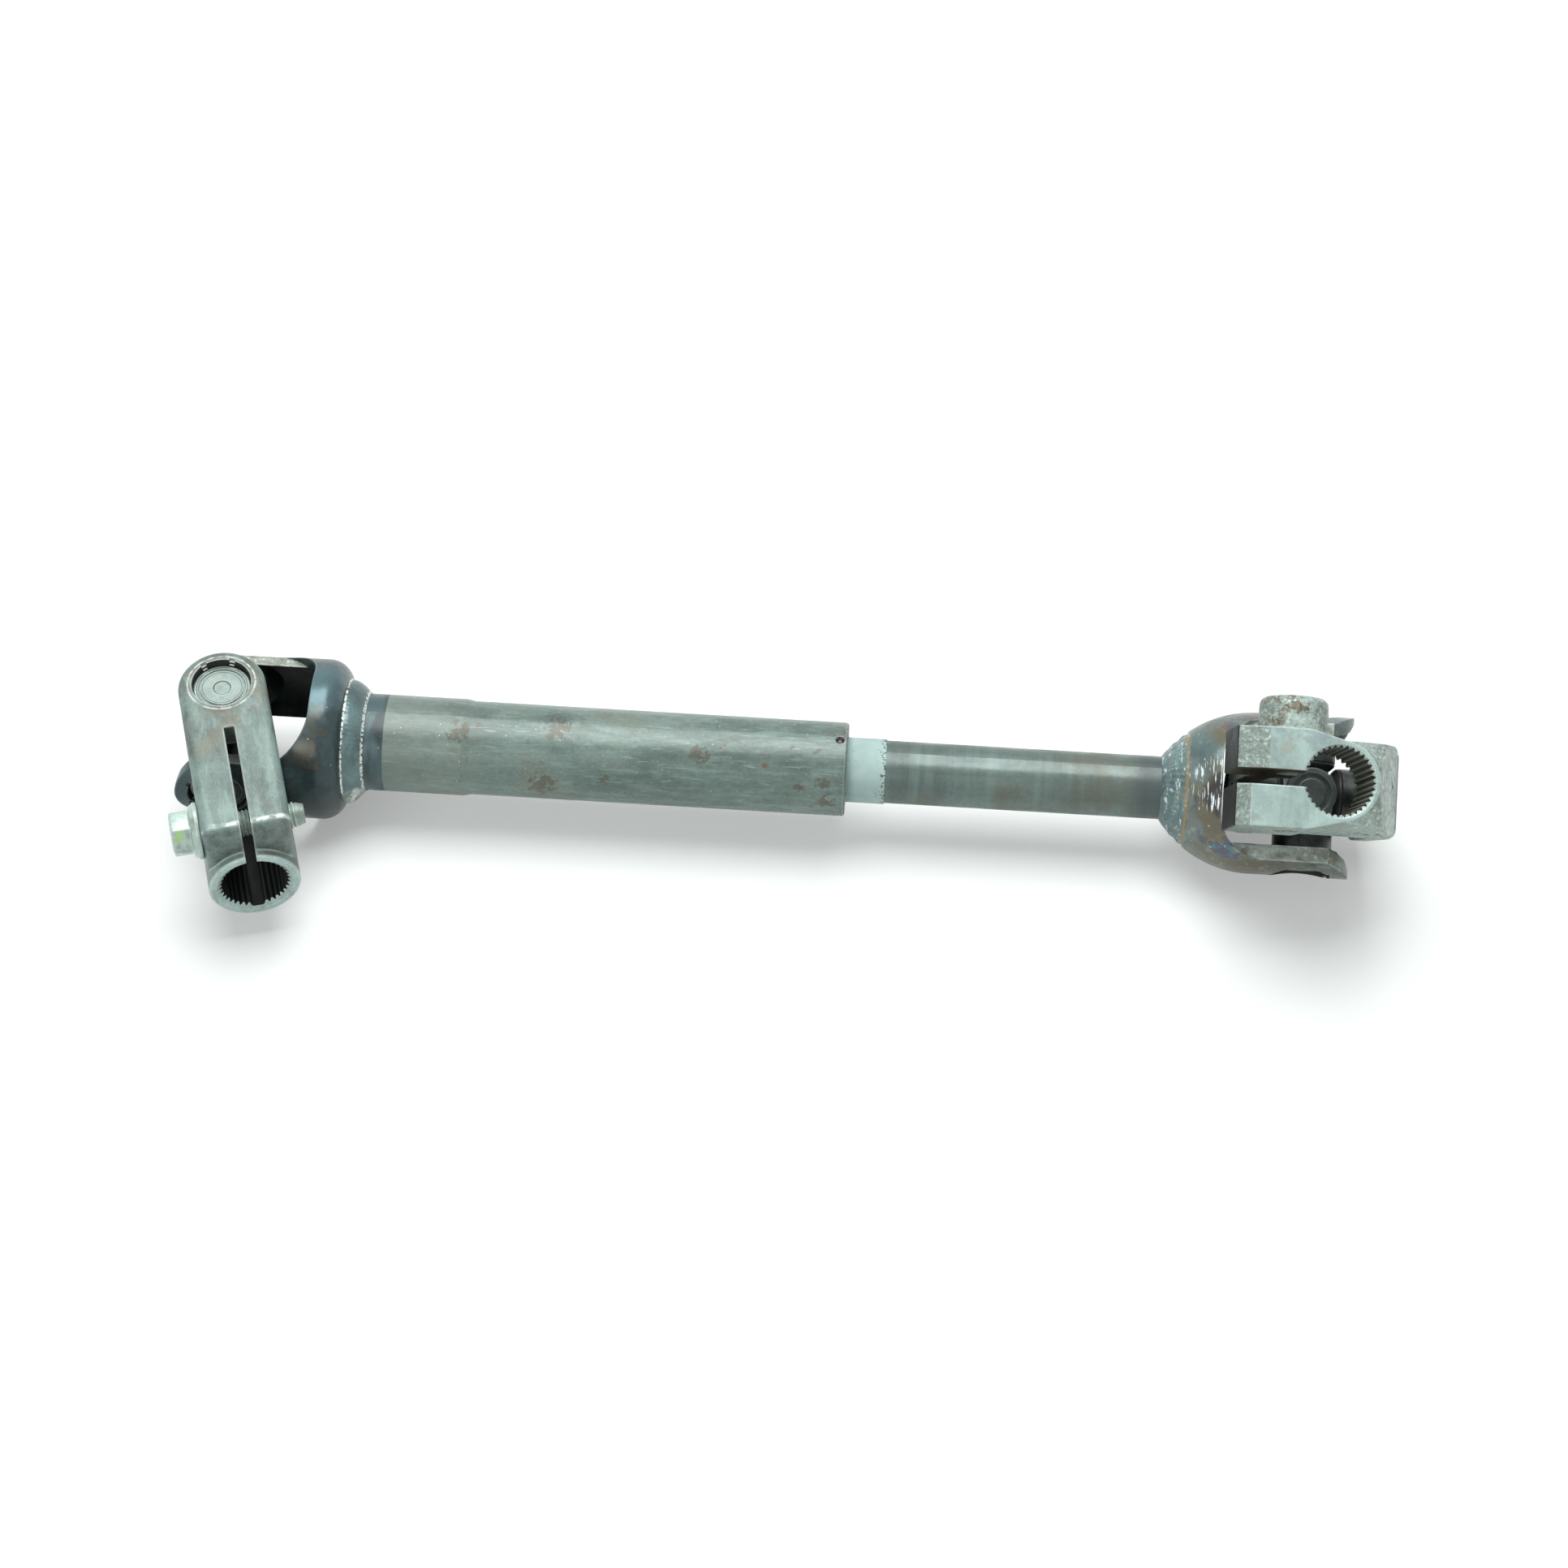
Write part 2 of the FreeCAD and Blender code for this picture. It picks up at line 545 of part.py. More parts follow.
def left_bar():
    """The long yoke's bar: square nose above, and a belly that rises to the hub below."""
    side = LEFT_ARM_HALF_WIDTH
    face = LEFT_YOKE_FACE
    bar = arm_block(side, face, (LEFT_BLOCK_END, side))
    nose = [edge for edge in bar.Edges if edge.BoundBox.ZLength > face
            and edge.BoundBox.XMin > LEFT_BLOCK_END - NEAR]
    bar = bar.makeFillet(LEFT_NOSE_ROUNDING, nose)
    bar = bar.makeFillet(LEFT_ARM_ROUNDING, edges_at_height(bar, face))
    waste = polygon_face([Vector(LEFT_BELLY_START, -side - OVERCUT, -face - OVERCUT),
                          Vector(LEFT_BELLY_START, -side - OVERCUT, -face),
                          Vector(LEFT_BELLY_END, -side - OVERCUT, 0),
                          Vector(LEFT_HUB_END, -side - OVERCUT, 0),
                          Vector(LEFT_HUB_END, -side - OVERCUT, -face - OVERCUT)])
    bar = bar.cut(waste.extrude(Vector(0, 2 * (side + OVERCUT), 0)))
    rims = [edge for edge in bar.Edges if edge.BoundBox.XMax > LEFT_BELLY_END - NEAR
            and edge.BoundBox.XMin < LEFT_BELLY_START + LEFT_ARM_ROUNDING
            and edge.BoundBox.ZMax < NEAR]
    return bar.makeFillet(LEFT_BELLY_ROUNDING, rims)


def left_clamp_yoke():
    """The long clamp yoke: X runs to its splined mouth, Z through its bearing cups."""
    hub = turned([(LEFT_THROAT_RADIUS, 0), (LEFT_THROAT_RADIUS, LEFT_HUB_RADIUS),
                  (LEFT_HUB_END - LEFT_HUB_EDGE, LEFT_HUB_RADIUS),
                  (LEFT_HUB_END, LEFT_HUB_RADIUS - LEFT_HUB_EDGE), (LEFT_HUB_END, 0)])
    side = LEFT_ARM_HALF_WIDTH + OVERCUT
    end = LEFT_HUB_END + OVERCUT
    throat = rod(LEFT_THROAT_RADIUS, -side, side, Vector(0, 1, 0))
    throat = throat.common(block((-CUT_MARGIN, -side, -LEFT_ARM_INNER),
                                 (CUT_MARGIN, side, LEFT_ARM_INNER)))
    bore = serrated_bore(0, end)
    mouth = mouth_chamfer(LEFT_MOUTH_RADIUS, LEFT_MOUTH_DEPTH, LEFT_HUB_END)
    half_slit = LEFT_SLIT_WIDTH / 2
    slit = block((LEFT_SLIT_START, -half_slit, 0), (end, half_slit, LEFT_YOKE_FACE + OVERCUT))
    saw_mark = block((LEFT_THROAT_RADIUS / 2, -half_slit, -SERRATION_ROOT_RADIUS - LEFT_SAW_MARK),
                     (end, half_slit, 0))
    centre = Vector(BOLT_UP, 0, BOLT_OFFSET)
    bolt_hole = rod(BOLT_RADIUS + BOLT_HOLE_CLEARANCE, -side, 0, Vector(0, 1, 0), centre)
    thread_hole = rod(BOLT_RADIUS, 0, side, Vector(0, 1, 0), centre)
    yoke = trimmed(joined(left_bar(), hub), throat, bore, mouth, slit, saw_mark, bolt_hole,
                   thread_hole)
    return staked_eyes(yoke, LEFT_YOKE_FACE)


def clamp_bolt():
    """The flange bolt along Y, its head at -Y, seated on the left lug."""
    seat = -LEFT_ARM_HALF_WIDTH
    tip = seat + BOLT_LENGTH
    shank = rod(BOLT_RADIUS, 0, BOLT_LENGTH - BOLT_POINT_LENGTH)
    point = rod(BOLT_POINT_RADIUS, 0, BOLT_LENGTH)
    flange = turned([(0, 0), (0, FLANGE_RADIUS), (-FLANGE_RIM, FLANGE_RADIUS),
                     (-FLANGE_HEIGHT, HEX_FLATS / 2), (-FLANGE_HEIGHT, 0)])
    corner = HEX_FLATS / math.sqrt(3)
    ring = [Vector(-FLANGE_RIM, corner * math.cos(math.radians(60 * index)),
                   corner * math.sin(math.radians(60 * index))) for index in range(6)]
    top = FLANGE_HEIGHT + HEX_HEIGHT
    head = polygon_face(ring).extrude(Vector(FLANGE_RIM - top, 0, 0))
    chamfer = turned([(0, 0), (0, corner + OVERCUT), (HEX_CHAMFER - top, corner + OVERCUT),
                      (HEX_CHAMFER - top, corner), (-top, corner - 2 * HEX_CHAMFER), (-top, 0)])
    bolt = joined(shank, point, flange, head.common(chamfer))
    bolt.rotate(Vector(), Vector(0, 0, 1), 90)
    bolt.translate(Vector(BOLT_UP, tip - BOLT_LENGTH, BOLT_OFFSET))
    return bolt


def right_hub():
    """The right yoke's hub: a steep flare below its face, then the arms' even slope."""
    foot = RIGHT_HUB_RADIUS + RIGHT_HUB_FLARE * RIGHT_HUB_END
    flare = Part.makeCone(foot, RIGHT_HUB_RADIUS, RIGHT_HUB_END, Vector(), Vector(1, 0, 0))
    wide = RIGHT_HUB_RADIUS + RIGHT_ARM_SLOPE * RIGHT_HUB_END
    side = RIGHT_ARM_HALF_WIDTH + OVERCUT
    slopes = polygon_face([Vector(0, -side, wide), Vector(RIGHT_HUB_END, -side, RIGHT_HUB_RADIUS),
                           Vector(RIGHT_HUB_END, -side, -RIGHT_HUB_RADIUS),
                           Vector(0, -side, -wide)])
    return flare.common(slopes.extrude(Vector(0, 2 * side, 0)))


def right_lug(side, slope_length):
    """One clamp lug: a rough slope at its end, and a flank that runs into the hub."""
    foot = RIGHT_HUB_END - RIGHT_LUG_HEIGHT
    start = RIGHT_LUG_REACH - slope_length
    reach = math.hypot(RIGHT_LUG_TAPER_START, RIGHT_LUG_HALF_WIDTH)
    turn = math.atan2(RIGHT_LUG_HALF_WIDTH, -RIGHT_LUG_TAPER_START)
    turn -= math.acos(RIGHT_HUB_RADIUS / reach)
    tangent_y = RIGHT_HUB_RADIUS * math.sin(turn)
    tangent_z = RIGHT_HUB_RADIUS * math.cos(turn)
    plan = polygon_face([Vector(foot, 0, tangent_z), Vector(foot, side * tangent_y, tangent_z),
                         Vector(foot, side * RIGHT_LUG_HALF_WIDTH, -RIGHT_LUG_TAPER_START),
                         Vector(foot, side * RIGHT_LUG_HALF_WIDTH, -RIGHT_LUG_REACH),
                         Vector(foot, 0, -RIGHT_LUG_REACH)])
    bar = plan.extrude(Vector(RIGHT_LUG_HEIGHT, 0, 0))
    brow = polygon_face([Vector(RIGHT_HUB_END, 0, -start),
                         Vector(RIGHT_HUB_END - RIGHT_LUG_SLOPE_DROP, 0, -RIGHT_LUG_REACH),
                         Vector(RIGHT_HUB_END, 0, -RIGHT_LUG_REACH)])
    bar = bar.cut(brow.extrude(Vector(0, side * RIGHT_LUG_HALF_WIDTH, 0)))
    rough = [edge for edge in bar.Edges if edge.BoundBox.ZMax < NEAR - RIGHT_LUG_REACH
             and edge.BoundBox.YLength > RIGHT_LUG_HALF_WIDTH / 2]
    return bar.makeFillet(RIGHT_LUG_ROUNDING, rough)


def right_boss():
    """The long rough boss that the clamp bolt screws into."""
    centre = Vector(RIGHT_BOLT_UP, 0, -RIGHT_BOLT_OFFSET)
    boss = Part.makeCone(RIGHT_BOSS_RADIUS, RIGHT_BOSS_RADIUS - RIGHT_BOSS_TAPER, RIGHT_BOSS_REACH,
                         centre, Vector(0, -1, 0))
    end = [edge for edge in boss.Edges if edge.BoundBox.YMax < NEAR - RIGHT_BOSS_REACH]
    return boss.makeFillet(RIGHT_BOSS_ROUNDING, end)


def right_clamp_yoke():
    """The short clamp yoke: X runs to its splined mouth, Z through its bearing cups."""
    bar = arm_block(RIGHT_EYE_RADIUS, RIGHT_YOKE_FACE, (RIGHT_ARM_WIDEST, RIGHT_ARM_HALF_WIDTH),
                    (RIGHT_HUB_END, RIGHT_HUB_RADIUS))
    bar = bar.makeFillet(RIGHT_ARM_ROUNDING, edges_at_height(bar, RIGHT_YOKE_FACE))
    upper = bar.common(joined(right_hub(), block((-CUT_MARGIN, -CUT_MARGIN, -CUT_MARGIN),
                                                 (RIGHT_THROAT_END, CUT_MARGIN, CUT_MARGIN))))
    body = joined(upper, right_lug(-1, RIGHT_LUG_SLOPE_UPPER), right_lug(1, RIGHT_LUG_SLOPE_LOWER),
                  right_boss())
    side = RIGHT_LUG_HALF_WIDTH + OVERCUT
    end = RIGHT_HUB_END + OVERCUT
    throat = block((-CUT_MARGIN, -side, -RIGHT_ARM_INNER), (RIGHT_THROAT_END, side, RIGHT_ARM_INNER))
    corners = [edge for edge in throat.Edges if edge.BoundBox.YLength > side
               and edge.BoundBox.XMin > 0]
    throat = throat.makeFillet(RIGHT_THROAT_ROUNDING, corners)
    bore = serrated_bore(0, end)
    mouth = mouth_chamfer(RIGHT_MOUTH_RADIUS, RIGHT_MOUTH_DEPTH, RIGHT_HUB_END)
    half_slit = RIGHT_SLIT_WIDTH / 2
    slit = block((0, -half_slit, -RIGHT_LUG_REACH - OVERCUT), (end, half_slit, 0))
    centre = Vector(RIGHT_BOLT_UP, 0, -RIGHT_BOLT_OFFSET)
    bolt_hole = rod(BOLT_RADIUS + BOLT_HOLE_CLEARANCE, -CUT_MARGIN, CUT_MARGIN, Vector(0, 1, 0),
                    centre)
    yoke = trimmed(body, throat, bore, mouth, slit, bolt_hole)
    return staked_eyes(yoke, RIGHT_YOKE_FACE)


def placement(centre, along, up):
    """Puts local X along one direction and local Z along another, at a centre."""
    side = up.cross(along)
    matrix = FreeCAD.Matrix(along.x, side.x, up.x, centre.x, along.y, side.y, up.y, centre.y,
                            along.z, side.z, up.z, centre.z, 0, 0, 0, 1)
    return FreeCAD.Placement(matrix)


def left_directions():
    """Shaft direction, tube yoke's ear axis, clamp yoke's ear axis and clamp yoke's axis."""
    turn = math.radians(LEFT_FOLD)
    to_shaft = Vector(1, 0, 0)
    tube_ears = Vector(0, -1, 0)
    clamp_ears = Vector(0, 0, 1)
    clamp_axis = Vector(-math.cos(turn), -math.sin(turn), 0)
    return to_shaft, tube_ears, clamp_ears, clamp_axis


def right_directions():
    """The same four directions for the right joint."""
    roll = math.radians(RIGHT_ROLL)
    fold = math.radians(RIGHT_FOLD)
    to_shaft = Vector(-1, 0, 0)
    tube_ears = Vector(0, -math.cos(roll), -math.sin(roll))
    saddle = Vector(0, -math.sin(roll), math.cos(roll))
    clamp_ears = Vector(math.sin(fold), 0, 0) + saddle * math.cos(fold)
    clamp_axis = Vector(-math.cos(fold), 0, 0) + saddle * math.sin(fold)
    return to_shaft, tube_ears, clamp_ears, clamp_axis


def joint_pieces(side, centre, directions):
    """A cross with its cups, needles and seals, placed in the row's axes."""
    tube_ears, clamp_ears = directions[1], directions[2]
    pieces = {}
    middle = cross()
    middle.Placement = placement(centre, tube_ears.cross(clamp_ears), clamp_ears)
    pieces[side + "_cross"] = middle
    ends = (("clamp_a", clamp_ears, tube_ears), ("clamp_b", clamp_ears * -1, tube_ears),
            ("tube_a", tube_ears, clamp_ears), ("tube_b", tube_ears * -1, clamp_ears))
    for end, out, beside in ends:
        place = placement(centre, out, beside)
        for kind, maker in (("cup", bearing_cup), ("needles", needle_rollers),
                            ("seal", rubber_seal)):
            piece = maker()
            piece.Placement = place
            pieces[side + "_" + kind + "_" + end] = piece
    return pieces


def build_pieces():
    """Every piece, in place, with the left joint's centre as origin."""
    left_centre = Vector()
    right_centre = Vector(JOINT_SPAN, 0, 0)
    left = left_directions()
    right = right_directions()
    pieces = joint_pieces("left", left_centre, left)
    pieces.update(joint_pieces("right", right_centre, right))
    placed = {
        "left_clamp_yoke": (left_clamp_yoke(), placement(left_centre, left[3], left[2])),
        "left_clamp_bolt": (clamp_bolt(), placement(left_centre, left[3], left[2])),
        "left_tube_yoke": (left_tube_yoke(), placement(left_centre, left[0], left[1])),
        "left_weld_bead": (weld_bead(TUBE_SWELL_RADIUS, LEFT_NECK_END, LEFT_BEAD_LENGTH,
                                     LEFT_BEAD_HEIGHT),
                           placement(left_centre, left[0], left[1])),
        "outer_tube": (outer_tube(), FreeCAD.Placement()),
        "inner_shaft": (inner_shaft(), FreeCAD.Placement()),
        "nylon_coating": (nylon_coating(), FreeCAD.Placement()),
        "right_weld_bead": (weld_bead(SLIM_RADIUS, RIGHT_NECK_END, RIGHT_BEAD_LENGTH,
                                      RIGHT_BEAD_HEIGHT),
                            placement(right_centre, right[0], right[1])),
        "right_tube_yoke": (right_tube_yoke(), placement(right_centre, right[0], right[1])),
        "right_clamp_yoke": (right_clamp_yoke(), placement(right_centre, right[3], right[2])),
    }
    for name, (shape, place) in placed.items():
        shape.Placement = place.multiply(shape.Placement)
        pieces[name] = shape
    return pieces


def ground_offset(pieces):
    """The move that stands the whole part's box on Z = 0, centred on X and Y."""
    box = FreeCAD.BoundBox()
    for shape in pieces.values():
        box.add(shape.optimalBoundingBox(False))
    return Vector(-box.Center.x, -box.Center.y, -box.ZMin)


def main():
    """Writes one STEP file per piece."""
    os.makedirs("parts", exist_ok=True)
    pieces = build_pieces()
    offset = ground_offset(pieces)
    for name, shape in pieces.items():
        shape.translate(offset)
        shape.exportStep("parts/" + name + ".step")


if __name__ == "__main__":
    main()
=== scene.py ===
"""Looks of a steering intermediate shaft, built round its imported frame."""
import json
import math

import bpy
from mathutils import Matrix, Vector, noise


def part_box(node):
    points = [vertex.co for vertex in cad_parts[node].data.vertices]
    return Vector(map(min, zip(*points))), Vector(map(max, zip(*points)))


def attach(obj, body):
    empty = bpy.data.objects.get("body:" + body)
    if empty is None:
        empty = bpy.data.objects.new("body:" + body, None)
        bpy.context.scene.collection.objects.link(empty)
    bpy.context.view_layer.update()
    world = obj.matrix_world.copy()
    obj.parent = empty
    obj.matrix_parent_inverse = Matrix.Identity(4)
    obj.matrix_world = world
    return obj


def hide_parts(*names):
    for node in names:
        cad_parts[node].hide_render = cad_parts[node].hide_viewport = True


bl_info = {
    "name": "Steering intermediate shaft",
    "version": (1, 0, 0),
    "blender": (4, 5, 0),
    "location": "View3D > Sidebar > Shaft",
    "description": "Dresses a telescoping steering shaft with two universal joints",
    "category": "Object",
}

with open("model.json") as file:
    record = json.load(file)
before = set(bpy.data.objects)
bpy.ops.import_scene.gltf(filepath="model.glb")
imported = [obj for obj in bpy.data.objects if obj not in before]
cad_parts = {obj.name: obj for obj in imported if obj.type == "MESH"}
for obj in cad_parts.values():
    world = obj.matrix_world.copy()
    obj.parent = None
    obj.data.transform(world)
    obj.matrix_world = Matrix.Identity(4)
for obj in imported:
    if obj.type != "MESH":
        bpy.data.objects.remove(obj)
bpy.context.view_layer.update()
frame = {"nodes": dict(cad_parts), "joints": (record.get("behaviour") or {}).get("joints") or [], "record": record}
NODES = frame["nodes"]
MM = 0.001


def joint_named(name):
    """The record's joint of that name."""
    return next(joint for joint in frame["joints"] if joint["name"] == name)


def mount_named(name):
    """The record's mount of that name."""
    return next(mount for mount in frame["record"]["mounts"] if mount["name"] == name)


# The joints' centres and directions come from the record
LEFT_CENTRE = Vector(joint_named("left_fold")["pos_m"])
LEFT_UP = Vector(joint_named("left_fold")["axis"])
LEFT_AXIS = Vector(mount_named("left_spline_bore")["axis"])
RIGHT_CENTRE = Vector(joint_named("right_tilt")["pos_m"])
RIGHT_UP = Vector(joint_named("right_tilt")["axis"])
RIGHT_AXIS = Vector(mount_named("right_spline_bore")["axis"])
TUBE_EARS = Vector(joint_named("right_fold")["axis"])


def local_matrix(centre, along, up):
    """Matrix that puts X along one direction and Z along another, at a centre."""
    side = up.cross(along)
    return Matrix(((along.x, side.x, up.x, centre.x), (along.y, side.y, up.y, centre.y),
                   (along.z, side.z, up.z, centre.z), (0, 0, 0, 1)))


LEFT_YOKE_PLACE = local_matrix(LEFT_CENTRE, LEFT_AXIS, LEFT_UP)
RIGHT_YOKE_PLACE = local_matrix(RIGHT_CENTRE, RIGHT_AXIS, RIGHT_UP)


# Materials

# Degrees round the tube from its top, towards the back
LEFT_WELD_END = -112.0
# Stains on the tube: millimetres from the left joint, degrees from its top towards the front,
# and radius in millimetres
TUBE_STAINS = ((125.0, 8.0, 7.0), (120.0, 83.0, 8.0), (143.0, 70.0, 3.4), (215.0, 65.0, 2.6),
               (223.5, 58.0, 4.2), (226.0, 82.0, 5.0), (88.0, 20.0, 6.0), (178.0, 30.0, 5.0))
RUST = (0.19, 0.085, 0.035)
DARK_RUST = (0.07, 0.04, 0.022)


def shade(colour, factor):
    """A colour made lighter or darker."""
    return tuple(channel * factor for channel in colour[:3])


class Skin:
    """Short words for the nodes of one material."""

    def __init__(self, name, metallic, specular=0.5):
        self.material = bpy.data.materials.new(name)
        self.material.use_nodes = True
        self.tree = self.material.node_tree
        self.shader = self.tree.nodes["Principled BSDF"]
        self.shader.inputs["Metallic"].default_value = metallic
        self.shader.inputs["Specular IOR Level"].default_value = specular
        self.place = self.node("ShaderNodeTexCoord").outputs["Object"]
        self.normal = None
        self.colour = None

    def node(self, kind, **settings):
        made = self.tree.nodes.new(kind)
        for key, value in settings.items():
            setattr(made, key, value)
        return made

    def feed(self, socket, value):
        """Links an output to a socket, or sets the socket's own value."""
        if isinstance(value, bpy.types.NodeSocket):
            self.tree.links.new(value, socket)
        else:
            socket.default_value = (*value[:3], 1) if socket.type == "RGBA" else value

    def moved(self, matrix=None, stretch=(1, 1, 1)):
        """Object coordinates seen from a local frame, stretched along its axes."""
        source = self.place
        if matrix is not None:
            back = matrix.inverted()
            first = self.node("ShaderNodeMapping")
            self.feed(first.inputs["Vector"], source)
            first.inputs["Location"].default_value = back.to_translation()
            first.inputs["Rotation"].default_value = back.to_euler()
            source = first.outputs[0]
        second = self.node("ShaderNodeMapping")
        self.feed(second.inputs["Vector"], source)
        second.inputs["Scale"].default_value = stretch
        return second.outputs[0]

    def noise(self, scale, detail=4.0, roughness=0.55, where=None):
        made = self.node("ShaderNodeTexNoise")
        self.feed(made.inputs["Vector"], where or self.place)
        made.inputs["Scale"].default_value = scale
        made.inputs["Detail"].default_value = detail
        made.inputs["Roughness"].default_value = roughness
        return made.outputs["Fac"]

    def math(self, operation, first, second=0.5):
        made = self.node("ShaderNodeMath", operation=operation)
        self.feed(made.inputs[0], first)
        self.feed(made.inputs[1], second)
        return made.outputs[0]

    def step(self, value, start, end, low=0.0, high=1.0, smooth=True):
        """A value eased from one level to another between two marks."""
        made = self.node("ShaderNodeMapRange")
        if smooth:
            made.interpolation_type = "SMOOTHSTEP"
        self.feed(made.inputs["Value"], value)
        for key, number in (("From Min", start), ("From Max", end), ("To Min", low),
                            ("To Max", high)):
            made.inputs[key].default_value = number
        return made.outputs[0]

    def axis(self, name, where=None):
        made = self.node("ShaderNodeSeparateXYZ")
        self.feed(made.inputs[0], where or self.place)
        return made.outputs[name]

    def mix(self, share, first, second, blend="MIX"):
        made = self.node("ShaderNodeMix", data_type="RGBA", blend_type=blend)
        self.feed(made.inputs[0], share)
        self.feed(made.inputs[6], first)
        self.feed(made.inputs[7], second)
        return made.outputs[2]

    def ramp(self, value, stops):
        made = self.node("ShaderNodeValToRGB")
        self.feed(made.inputs[0], value)
        bar = made.color_ramp
        while len(bar.elements) < len(stops):
            bar.elements.new(0.5)
        for element, (place, colour) in zip(bar.elements, stops):
            element.position = place
            element.color = (*colour[:3], 1)
        return made.outputs[0]

    def eased(self, millimetres):
        """Eases sharp edges in the shading, and gives a mask that is 1 on them."""
        ease = self.node("ShaderNodeBevel", samples=4)
        ease.inputs["Radius"].default_value = millimetres * MM
        self.normal = ease.outputs[0]
        match = self.node("ShaderNodeVectorMath", operation="DOT_PRODUCT")
        self.feed(match.inputs[0], self.normal)
        self.feed(match.inputs[1], self.node("ShaderNodeNewGeometry").outputs["Normal"])
        return self.step(match.outputs["Value"], 0.99, 0.86)

    def near(self, centre, radius, wobble=0.35, scale=90.0):
        """Goes from 1 at a point to 0 at a radius, with an uneven border."""
        gap = self.node("ShaderNodeVectorMath", operation="DISTANCE")
        self.feed(gap.inputs[0], self.place)
        gap.inputs[1].default_value = centre
        wave = self.step(self.noise(scale, 4.0), 0.25, 0.75, -wobble, wobble, smooth=False)
        share = self.step(gap.outputs["Value"], 0, radius, 1, 0, smooth=False)
        return self.times(self.plus(share, wave), self.step(share, 0, 0.3))

    def round_about(self, where):
        """Distance from the X axis of a local frame."""
        split = self.node("ShaderNodeSeparateXYZ")
        self.feed(split.inputs[0], where)
        squares = [self.math("POWER", self.math("ABSOLUTE", split.outputs[name]), 2.0)
                   for name in ("Y", "Z")]
        return self.math("SQRT", self.plus(*squares))

    def bump(self, height, strength, millimetres):
        made = self.node("ShaderNodeBump")
        made.inputs["Strength"].default_value = strength
        made.inputs["Distance"].default_value = millimetres * MM
        self.feed(made.inputs["Height"], height)
        if self.normal is not None:
            self.tree.links.new(self.normal, made.inputs["Normal"])
        self.normal = made.outputs[0]

    def times(self, first, second):
        return self.math("MULTIPLY", first, second)

    def plus(self, first, second):
        return self.math("ADD", first, second)

    def gap(self, value, mark):
        """How far a value is from a mark."""
        return self.math("ABSOLUTE", self.math("SUBTRACT", value, mark))

    def tint(self, share, tone):
        """Lays a tone over the colour so far."""
        self.colour = self.mix(share, self.colour, tone)

    def patch(self, field, start, end, tone, share=1.0):
        """Lays a tone over the colour where a field runs from start to end."""
        self.tint(self.step(field, start, end, 0.0, share), tone)

    def worn(self, tone, patch_scale=45.0, patch=0.22, grain_scale=900.0, grain=0.2):
        """Starts with a steel colour that has broad patches and a fine grain."""
        patches = self.noise(patch_scale, 5.0, 0.6)
        broad = self.mix(self.step(patches, 0.3, 0.7), shade(tone, 1 - patch),
                         shade(tone, 1 + patch))
        fine = self.noise(grain_scale, 3.0, 0.6)
        level = self.step(fine, 0.25, 0.75, 1 - grain, 1 + grain, smooth=False)
        self.colour = self.mix(1.0, broad, level, blend="MULTIPLY")

    def rusted(self, scale=120.0, start=0.62, end=0.72, share=0.8):
        """Rust specks where a noise runs high. Gives back where they are."""
        mask = self.step(self.noise(scale, 6.0, 0.7), start, end, 0.0, share)
        self.tint(mask, self.mix(self.noise(scale * 4, 2.0), DARK_RUST, RUST))
        return mask

    def specked(self, scale=1400.0, start=0.72, end=0.78, light=(0.75, 0.8, 0.78)):
        """Small bright nicks."""
        self.patch(self.noise(scale, 2.0, 0.5), start, end, light)

    def varied(self, low, high, *noise):
        """A value that wanders between two levels with a noise."""
        return self.step(self.noise(*noise), 0.3, 0.7, low, high)

    def finish(self, roughness):
        """Feeds the colour, the roughness and the bumps to the shader."""
        self.feed(self.shader.inputs["Base Color"], self.colour)
        self.feed(self.shader.inputs["Roughness"], roughness)
        if self.normal is not None:
            self.tree.links.new(self.normal, self.shader.inputs["Normal"])
        return self.material


